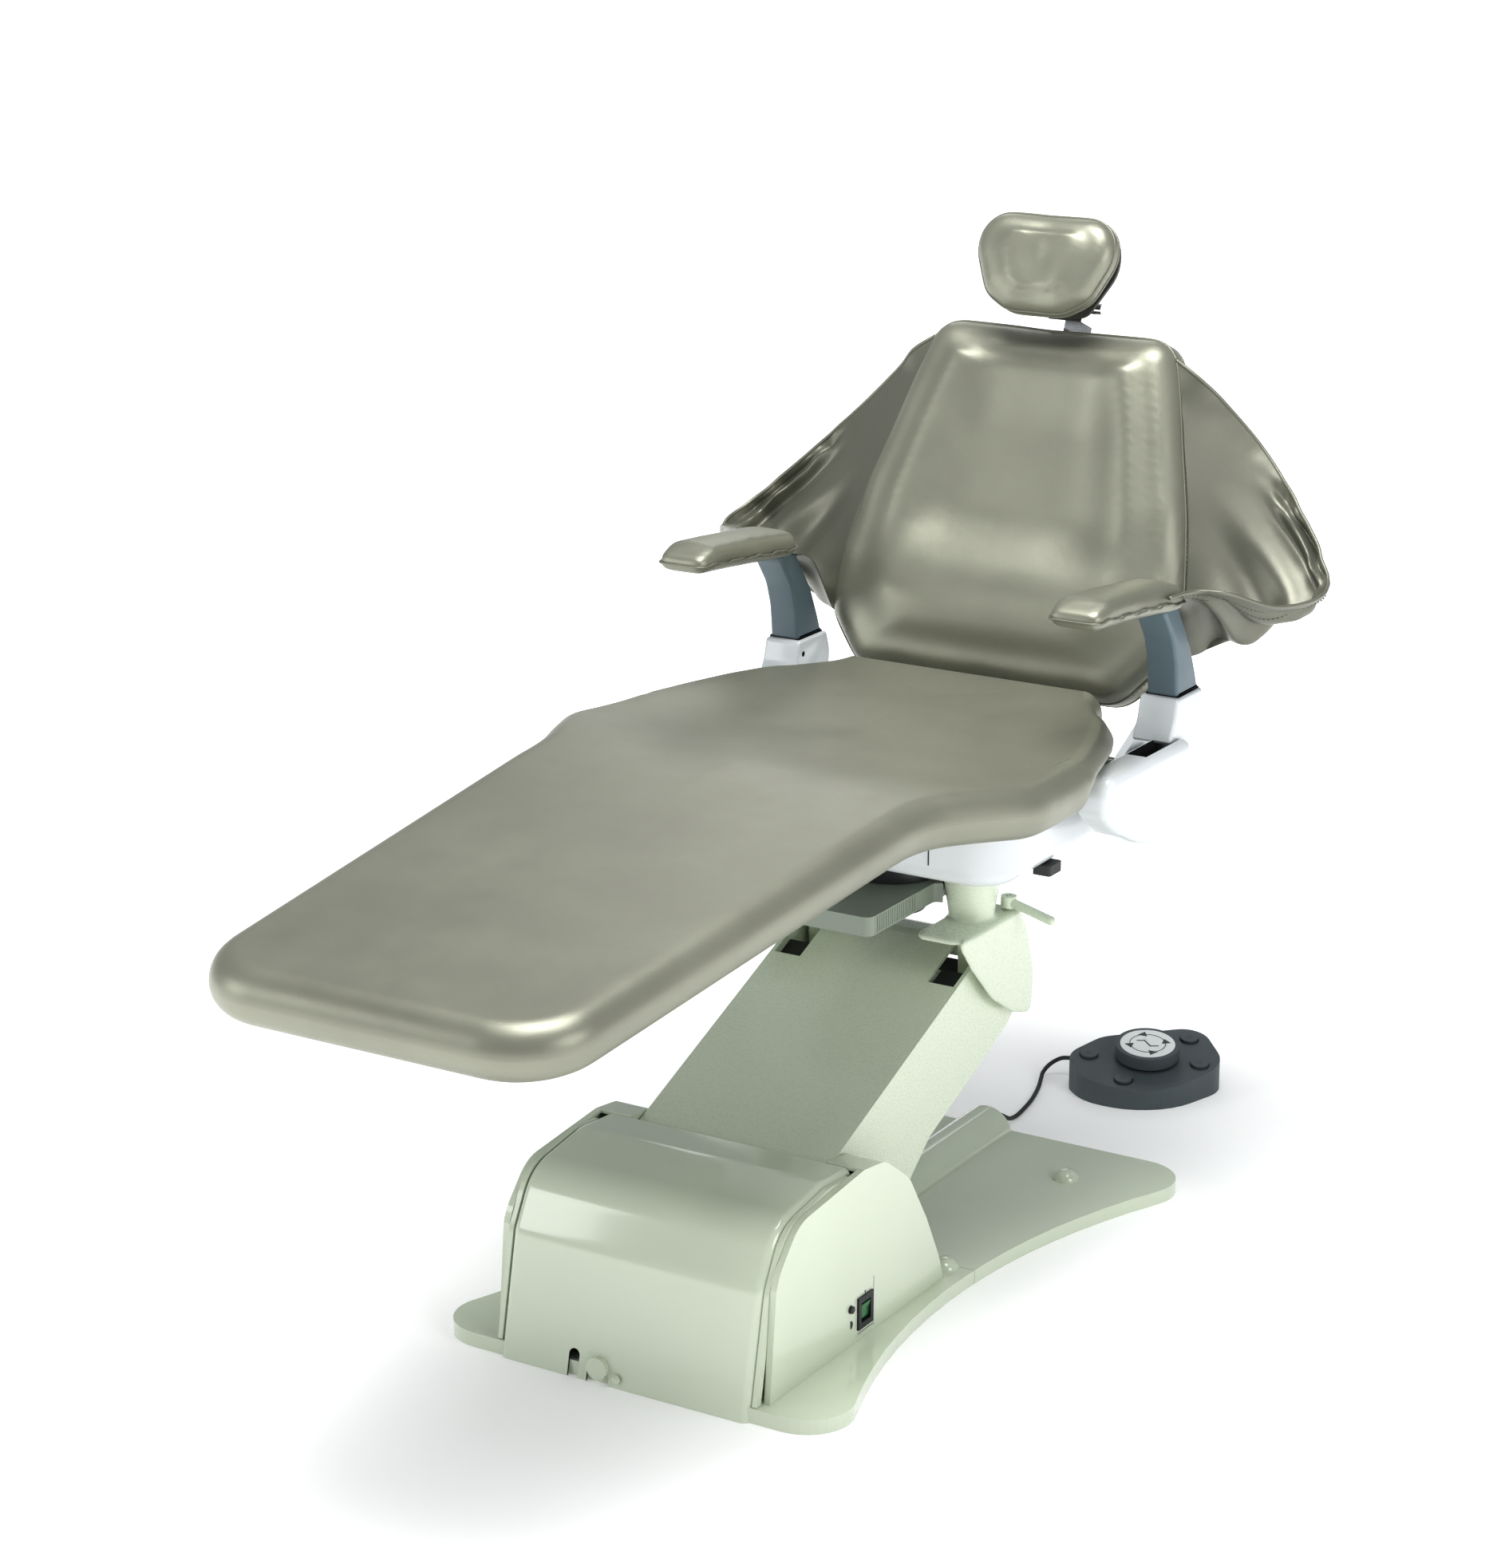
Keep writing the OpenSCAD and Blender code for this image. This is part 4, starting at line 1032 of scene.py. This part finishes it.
def back_cushion():
    outline = resample(symmetric(back_outline(9), 14), 360)
    front_r = 38.0
    profile = [(14.0 * (1 - math.cos(a)), -49.5 + 14.0 * (1 - math.sin(a)))
               for a in np.linspace(math.pi / 2, 0, 6)]
    profile += [(0.0, -26.0)]
    profile += [(front_r * (1 - math.cos(a)), 20.0 - front_r * (1 - math.sin(a)))
                for a in np.linspace(0, math.pi / 2, 13)]

    def front(x, z, s):
        """Lumbar roll at the bottom, a recessed panel above it between two side bolsters."""
        half = np.interp(z, [90, 180, 300, 600], [215, 262, 262, 178])
        across = abs(x) / half
        bolster = math.exp(-((across - 0.74) / 0.20) ** 2)
        recess = (smoothstep(z, 235, 335) * (1 - smoothstep(z, 440, 600))
                  * (1 - smoothstep(across, 0.30, 0.86)))
        lumbar = math.exp(-((z - 205) / 60.0) ** 2) * (1 - 0.35 * smoothstep(across, 0.4, 1.0))
        return (8.0 * smoothstep(s, 0.0, 0.35) + 10.0 * bolster * smoothstep(z, 200, 330)
                * smoothstep(s, 0.0, 0.2)
                + 17.0 * lumbar * smoothstep(s, 0.0, 0.3) - 17.0 * recess)

    back = cushion("backrest_upholstery", outline, profile, lambda p: (0.0, min(max(p[1], 250), 470)),
                   lambda p: on_back((p[0], p[2], p[1])), front,
                   [0.05, 0.1, 0.16, 0.22, 0.28, 0.34, 0.4, 0.46, 0.52, 0.58, 0.66, 0.74, 0.82, 0.91, 1.0])
    inflate(back, 6.0, 3.0, 5.0)
    ring = resample(symmetric(back_outline(9.0), 14), 300)
    lines = [onto(back, [on_back((x, depth, z)) for x, z in ring], 0.3) for depth in (-6.0, -11.0, -38.0)]
    subdivide(back, 1)
    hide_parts("backrest_cushion")
    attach(back, "backrest")
    for name, path in (("backrest_welt", lines[0]), ("backrest_welt_rear", lines[2])):
        welt = tube(name, path, 2.0, VINYL_EDGE, sides=10, closed=True)
        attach(welt, "backrest")
    stitches("backrest_stitches", lines[1] + lines[1][:1], "backrest")


back_cushion()


def head_outline(d):
    return [(46 + d, 602 - d, 44), (84 + d, 624 - d, 40), (112 + d, 690, 60), (104 + d, 750 + d, 46)]


def head_cushion():
    outline = resample(symmetric(head_outline(-3), 12), 200)
    profile = round_edge(44.0, 97.0, 26.0, 8)

    def front(x, z, s):
        return 9.0 * smoothstep(s, 0.0, 0.5)

    def place(p):
        """A shallow channel for the head between two side rolls, fading out below the straight top edge."""
        channel = (math.exp(-(p[0] / 32.0) ** 2) * smoothstep(p[1], 606, 650)
                   * (1 - smoothstep(p[1], 676, 748)))
        return on_back((p[0], p[2] - 13.0 * channel * smoothstep(p[2], 48, 100), p[1]))

    head = cushion("headrest_upholstery", outline, profile, lambda p: (0.0, min(max(p[1], 650), 715)),
                   place, front,
                   [0.06, 0.13, 0.2, 0.28, 0.36, 0.44, 0.53, 0.62, 0.72, 0.82, 0.91, 1.0])
    inflate(head, 4.5, 5.0, 6.0)
    ring = resample(symmetric(head_outline(-3.0), 12), 180)
    lines = [onto(head, [place((x, z, depth)) for x, z in ring], 0.2) for depth in (78.0, 62.0)]
    subdivide(head, 1)
    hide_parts("headrest_cushion")
    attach(head, "headrest")
    for name, path in zip(("headrest_welt", "headrest_welt_rear"), lines):
        welt = tube(name, path, 1.8, VINYL_EDGE, sides=10, closed=True)
        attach(welt, "headrest")


head_cushion()


PAD_RISE = math.radians(5.5)  # the pads rise towards the nose


def arm_pad():
    """Armrest pads in their fabric sleeve: flat sides, a bevelled nose and a slightly wavy welt."""
    outline = resample(symmetric([(35, -70, 14), (41, -40, 20), (41, 188, 18)], 10), 150)
    profile = [(16, 872), (8, 873), (2.5, 876), (0.5, 881), (0.0, 888), (1.0, 895),
               (4.0, 901.5), (9.0, 905.5),
               (15.0, 907.5)]

    def front(x, y, s):
        return 2.5 * smoothstep(s, 0.0, 0.7)

    def place(p):
        """Nose bevelled down, rear outer corner drawn out and back to meet the sling."""
        nose = smoothstep(-p[1], 30, 74)
        rear = smoothstep(p[1], 120, 190) * smoothstep(p[0], 10, 42)
        top = max(0.0, (p[2] - 888) / 20)
        y, z = p[1] - 4.0 * rear - 206.0, p[2] - 11.0 * nose * top - 3.0 * nose - 870.0
        c, d = math.cos(PAD_RISE), math.sin(PAD_RISE)
        return (p[0] + 300.0 + 7.0 * rear, 206.0 + y * c + z * d, 870.0 - y * d + z * c)

    right = cushion("armrest_pad_sleeve_right", outline, profile, lambda p: (0.0, min(max(p[1], -40), 150)),
                    place, front, [0.1, 0.25, 0.45, 0.7, 1.0])
    inflate(right, 4.0, 4.0, 3.0)
    subdivide(right, 1)
    bake_modifiers(right)
    ring = resample(symmetric([(35.6, -70.6, 14), (41.6, -40, 20), (41.6, 188.6, 18)], 10), 150)
    path = []
    for x, y in ring:
        wave = 1.3 * math.sin(0.11 * y) + 0.8 * math.sin(0.27 * y + 1.0)
        path.append(tuple(place((x, y, 884.0 + wave))))
    welt = tube("armrest_welt_right", path, 1.7, VINYL_EDGE, sides=10, closed=True)
    for obj in (right, welt):
        left = mirror_x(obj, obj.name.replace("_right", "_left"))
        for side, piece in (("right", obj), ("left", left)):
            if obj is right:
                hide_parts("armrest_pad_" + side)
            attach(piece, "armrest_" + side)


arm_pad()

# ------------------------------------------------------------------ slings

# Rows of (point at the back's edge, pull of the pouch, point on the free rim), from the bottom to the top
# At least 6 of the 12 rim points were measured from the photograph; report.md says which rule that breaks.
SLING = [
    ((260, 196, 876), (306, 196, 868), (345, 130, 902)),
    ((262, 236, 852), (318, 250, 846), (350, 165, 902)),
    ((268, 301, 770), (330, 350, 780), (360, 190, 901)),
    ((269, 320, 806), (400, 350, 800), (398, 204, 899)),
    ((269, 339, 853), (440, 380, 812), (440, 268, 873)),
    ((264, 358, 899), (450, 410, 840), (472, 336, 876)),
    ((254, 377, 945), (420, 440, 890), (461, 386, 894)),
    ((242, 395, 992), (360, 450, 960), (411, 435, 948)),
    ((228, 414, 1038), (300, 455, 1030), (330, 474, 1031)),
    ((214, 433, 1084), (250, 460, 1085), (262, 474, 1098)),
    ((197, 441, 1116), (218, 452, 1122), (229, 459, 1132)),
    ((186, 450, 1142), (188, 455, 1150), (190, 458, 1157)),
]


def sling_points(rows, cols):
    """Grid of points over the sling: rows run up the back, columns run out to the free rim."""
    edge, pull, rim = (catmull([row[k] for row in SLING], 12) for k in range(3))
    edge, pull, rim = (resample(line, rows, closed=False) for line in (edge, pull, rim))
    grid = np.zeros((rows, cols, 3))
    for j in range(cols):
        u = j / (cols - 1)
        grid[:, j] = edge * (1 - u) ** 2 + pull * 2 * u * (1 - u) + rim * u ** 2
    return grid


def sling_folds(u, v):
    """Depth of the folds in mm: short gathers under the rim, long folds that run down to the lower corner."""
    gathers = (math.exp(-((u - 0.84) / 0.13) ** 2) * smoothstep(v, 0.30, 0.42)
               * (1 - smoothstep(v, 0.62, 0.80)))
    short = math.sin(58.0 * v + 5.0 * u) + 0.6 * math.sin(97.0 * v + 4.0 * u + 1.3)
    angle = math.atan2(v + 0.05, 1.15 - u)
    fan = smoothstep(u, 0.05, 0.3) * (1 - smoothstep(u, 0.8, 1.0)) * smoothstep(v, 0.04, 0.16) * \
        (1 - smoothstep(v, 0.50, 0.72))
    long = math.sin(19.0 * angle + 2.0 * u) + 0.4 * math.sin(33.0 * angle)
    return 4.6 * gathers * short + 8.0 * fan * long


def slings():
    rows, cols = 90, 44
    grid = sling_points(rows, cols)
    du = np.gradient(grid, axis=1)
    dv = np.gradient(grid, axis=0)
    normal = np.cross(du, dv)
    normal /= np.maximum(np.linalg.norm(normal, axis=2), 1e-6)[:, :, None]
    for i in range(rows):
        for j in range(cols):
            grid[i, j] += normal[i, j] * sling_folds(j / (cols - 1), i / (rows - 1))
    # The sling takes the darkened vinyl: painted shade.
    cloth = new_object("sling_fabric_right", grid.reshape(-1, 3).tolist(),
                       grid_faces(rows, cols, False), VINYL_SLING_SHADED)
    solid = cloth.modifiers.new("thickness", "SOLIDIFY")
    solid.thickness = 1.6 * MM
    solid.offset = 0
    bake_modifiers(cloth)
    subdivide(cloth, 1)
    bake_modifiers(cloth)
    hem = tube("sling_hem_right", resample(grid[:, -1], 160, closed=False), 2.6, VINYL_EDGE, sides=10)
    rows_of_thread = []
    for k, column in enumerate((-4, -6)):
        rows_of_thread.append(stitches("sling_stitches_%d_right" % (k + 1),
                                       grid[4:-6, column] + normal[4:-6, column] * -1.0, None, pitch=7.0,
                                       length=4.6, radius=0.8))
    for obj in [cloth, hem] + rows_of_thread:
        left = mirror_x(obj, obj.name.replace("_right", "_left"))
        for side, piece in (("right", obj), ("left", left)):
            if obj is cloth:
                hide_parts("sling_" + side)
            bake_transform(piece)


slings()

# ------------------------------------------------------------------ foot control details


def flat_ring(name, centre, r0, r1, z, material, sides=96, thick=0.35):
    """A thin raised ring, or a disc where r0 is 0, on the sloping top of the foot control."""
    out, inner = [], []
    for a in np.linspace(0, 2 * math.pi, sides, endpoint=False):
        out.append((centre[0] + r1 * math.cos(a), centre[1] + r1 * math.sin(a)))
        inner.append((centre[0] + r0 * math.cos(a), centre[1] + r0 * math.sin(a)))
    rings = [[on_foot_top((x, y, z)) for x, y in inner], [on_foot_top((x, y, z)) for x, y in out],
             [on_foot_top((x, y, z + thick)) for x, y in out],
             [on_foot_top((x, y, z + thick)) for x, y in inner]]
    if r0 > 0:
        rings.append(rings[0])
        obj = skin(name, rings, material, cap=False, smooth=False)
        weld(obj, 0.005)
        obj.data.set_sharp_from_angle(angle=math.radians(30.0))
        return obj
    obj = skin(name, rings[1:3], material, smooth=False)
    return obj


def flat_shape(name, outline, z, material, thick=0.35):
    """A thin raised marking on the disc."""
    p = counter_clockwise(outline)
    return skin(name, [[on_foot_top((x, y, z)) for x, y in p],
                       [on_foot_top((x, y, z + thick)) for x, y in p]],
                material, smooth=False)


def ride_slot(obj, body):
    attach(obj, body)


DISC_TOP = 24.0


def foot_details():
    face = flat_ring("disc_face", (0, 0), 0, 42.0, DISC_TOP - 0.1, MARK_WHITE, thick=0.9)
    bevel(face, 0.4, 2)
    ride_slot(face, "foot_disc")
    top = DISC_TOP + 0.8
    circle = flat_ring("disc_circle", (0, 0), 26.6, 27.8, top, MARK_DARK)
    ride_slot(circle, "foot_disc")
    for k in range(4):
        a = math.radians(90 * k + 8)
        u = np.array((math.cos(a), math.sin(a)))
        v = np.array((-u[1], u[0]))
        middle = u * 28.0
        arrow = flat_shape("disc_arrow_%d" % (k + 1), [middle + v * 9.0, middle + u * 7.0 - v * 4.0,
                                                       middle - u * 7.0 - v * 4.0], top, MARK_DARK)
        ride_slot(arrow, "foot_disc")
    line = [(-15, 9), (-4, 9), (3, -8), (15, -8)]
    half = 1.1
    for k in range(3):
        a, b = np.array(line[k], float), np.array(line[k + 1], float)
        t = (b - a) / np.linalg.norm(b - a)
        n = np.array((-t[1], t[0])) * half
        bar = flat_shape("disc_chair_line_%d" % (k + 1), [a + n - t, a - n - t, b - n + t, b + n + t],
                         top, MARK_DARK)
        ride_slot(bar, "foot_disc")
    for k, (x, y) in enumerate(((-88, 8), (-42, -68), (78, -22), (70, 56))):
        ring = flat_ring("button_well_%d" % (k + 1), (x, y), 14.3, 15.6, -0.1, BLACK, thick=0.5)
        ride_slot(ring, "base")
        mark = flat_ring("button_mark_%d" % (k + 1), (x, y), 3.2, 4.4, 3.9, MARK_DARK, sides=40, thick=0.3)
        ride_slot(mark, "foot_button_%d" % (k + 1))
    relief = []
    for i in range(26):
        u = i / 25
        ridge = 0.5 if i % 4 < 2 else 0.0
        relief.append((40 * u, 4.0 + 3.6 * u + ridge))
    x0, y0, z0 = CORD[-1]
    rings = [[(x0 + x, y0 + r * math.cos(a), z0 + r * math.sin(a))
              for a in np.linspace(0, 2 * math.pi, 28, endpoint=False)] for x, r in relief]
    boot = skin("foot_cord_boot", rings, RUBBER)
    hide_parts("foot_cord_relief")
    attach(boot, "base")


foot_details()

# ------------------------------------------------------------------ side cover details


def side_details():
    """Rocker marks, indicator window and L-shaped groove on the right-hand cover."""
    x = 205.0
    mark = [(-425.5, 81), (-423.5, 81), (-423.5, 85), (-425.5, 85)]
    bar = rounded_slab("rocker_mark_line", mark, x - 0.2, x + 0.35, 0.1, 0.1, MARK_DARK, 1.0)
    ride_slot(bar, "base")
    groove = [(-402, 96), (-402, 34), (-404, 31), (-408, 30), (-448, 30)]
    line = tube("cover_groove", [(x + 0.1, y, z) for y, z in catmull(groove, 6)], 0.9, STEEL, sides=8)
    ride_slot(line, "base")
    half = [(-462 + 5.5 * math.cos(a), 50 + 5.5 * math.sin(a))
            for a in np.linspace(-math.pi / 2, math.pi / 2, 20)]
    window = rounded_slab("indicator_window", half, x - 0.3, x + 1.0, 0.3, 0.5, BLACK, 1.0)
    ride_slot(window, "base")


side_details()

# ------------------------------------------------------------------ stage and light


LAMPS = (("top", (0.3, -0.6, 4.6), 2.6, 190.0), ("side", (4.2, -1.2, 2.3), 1.8, 52.0),
         ("front", (-3.4, -3.6, 2.0), 1.8, 45.0), ("rear", (-2.0, 3.6, 3.0), 1.6, 12.0))


def stage():
    """Pale studio floor that turns white away from the chair, soft lamps and a pale sky. The floor glows:
    faintly near the chair, painted light that lightens its shadows there, and fully away from it.
    """
    far = 150000
    floor = new_object("floor_plane", [(-far, -far, 0), (far, -far, 0), (far, far, 0), (-far, far, 0)],
                       [(0, 1, 2, 3)], WHITE, False)
    n = Nodes("studio_floor")
    radius = n.add("ShaderNodeVectorMath", operation="LENGTH")
    n.link(n.where, radius.inputs[0])
    # Floor emission rises from 0.18 within 0.7 m of the chair to 1.0 beyond 2.4 m: painted light near the
    # chair.
    n.link(n.span(radius.outputs["Value"], 0.7, 2.4, 0.18, 1.0), n.shader.inputs["Emission Strength"])
    n.finish(n.ramp(n.noise(1.5, 2.0), (0.90, 0.90, 0.90), (0.92, 0.92, 0.92)), 0.75,
             Emission_Color=(1.0, 1.0, 1.0, 1.0))
    floor.data.materials.clear()
    floor.data.materials.append(n.material)
    floor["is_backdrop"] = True
    world = bpy.data.worlds.new("studio")
    world.use_nodes = True
    world.node_tree.nodes["Background"].inputs["Color"].default_value = (0.93, 0.97, 1.0, 1.0)
    world.node_tree.nodes["Background"].inputs["Strength"].default_value = 0.32
    bpy.context.scene.world = world
    view = bpy.context.scene.view_settings
    view.view_transform = "Standard"
    view.exposure = 0.12
    view.gamma = 0.85
    for name, where, size, power in LAMPS:
        data = bpy.data.lights.new(name, "AREA")
        data.size = size
        data.energy = power
        lamp = bpy.data.objects.new(name, data)
        lamp.location = where
        aim = Vector((0.0, -0.2, 0.6)) - Vector(where)
        lamp.rotation_euler = aim.to_track_quat("-Z", "Y").to_euler()
        bpy.context.scene.collection.objects.link(lamp)


stage()

# ------------------------------------------------------------------ finish

def plain(box):
    return [[float(c) for c in corner] for corner in box]

{"cad": plain(cad_box), "visual": plain(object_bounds())}
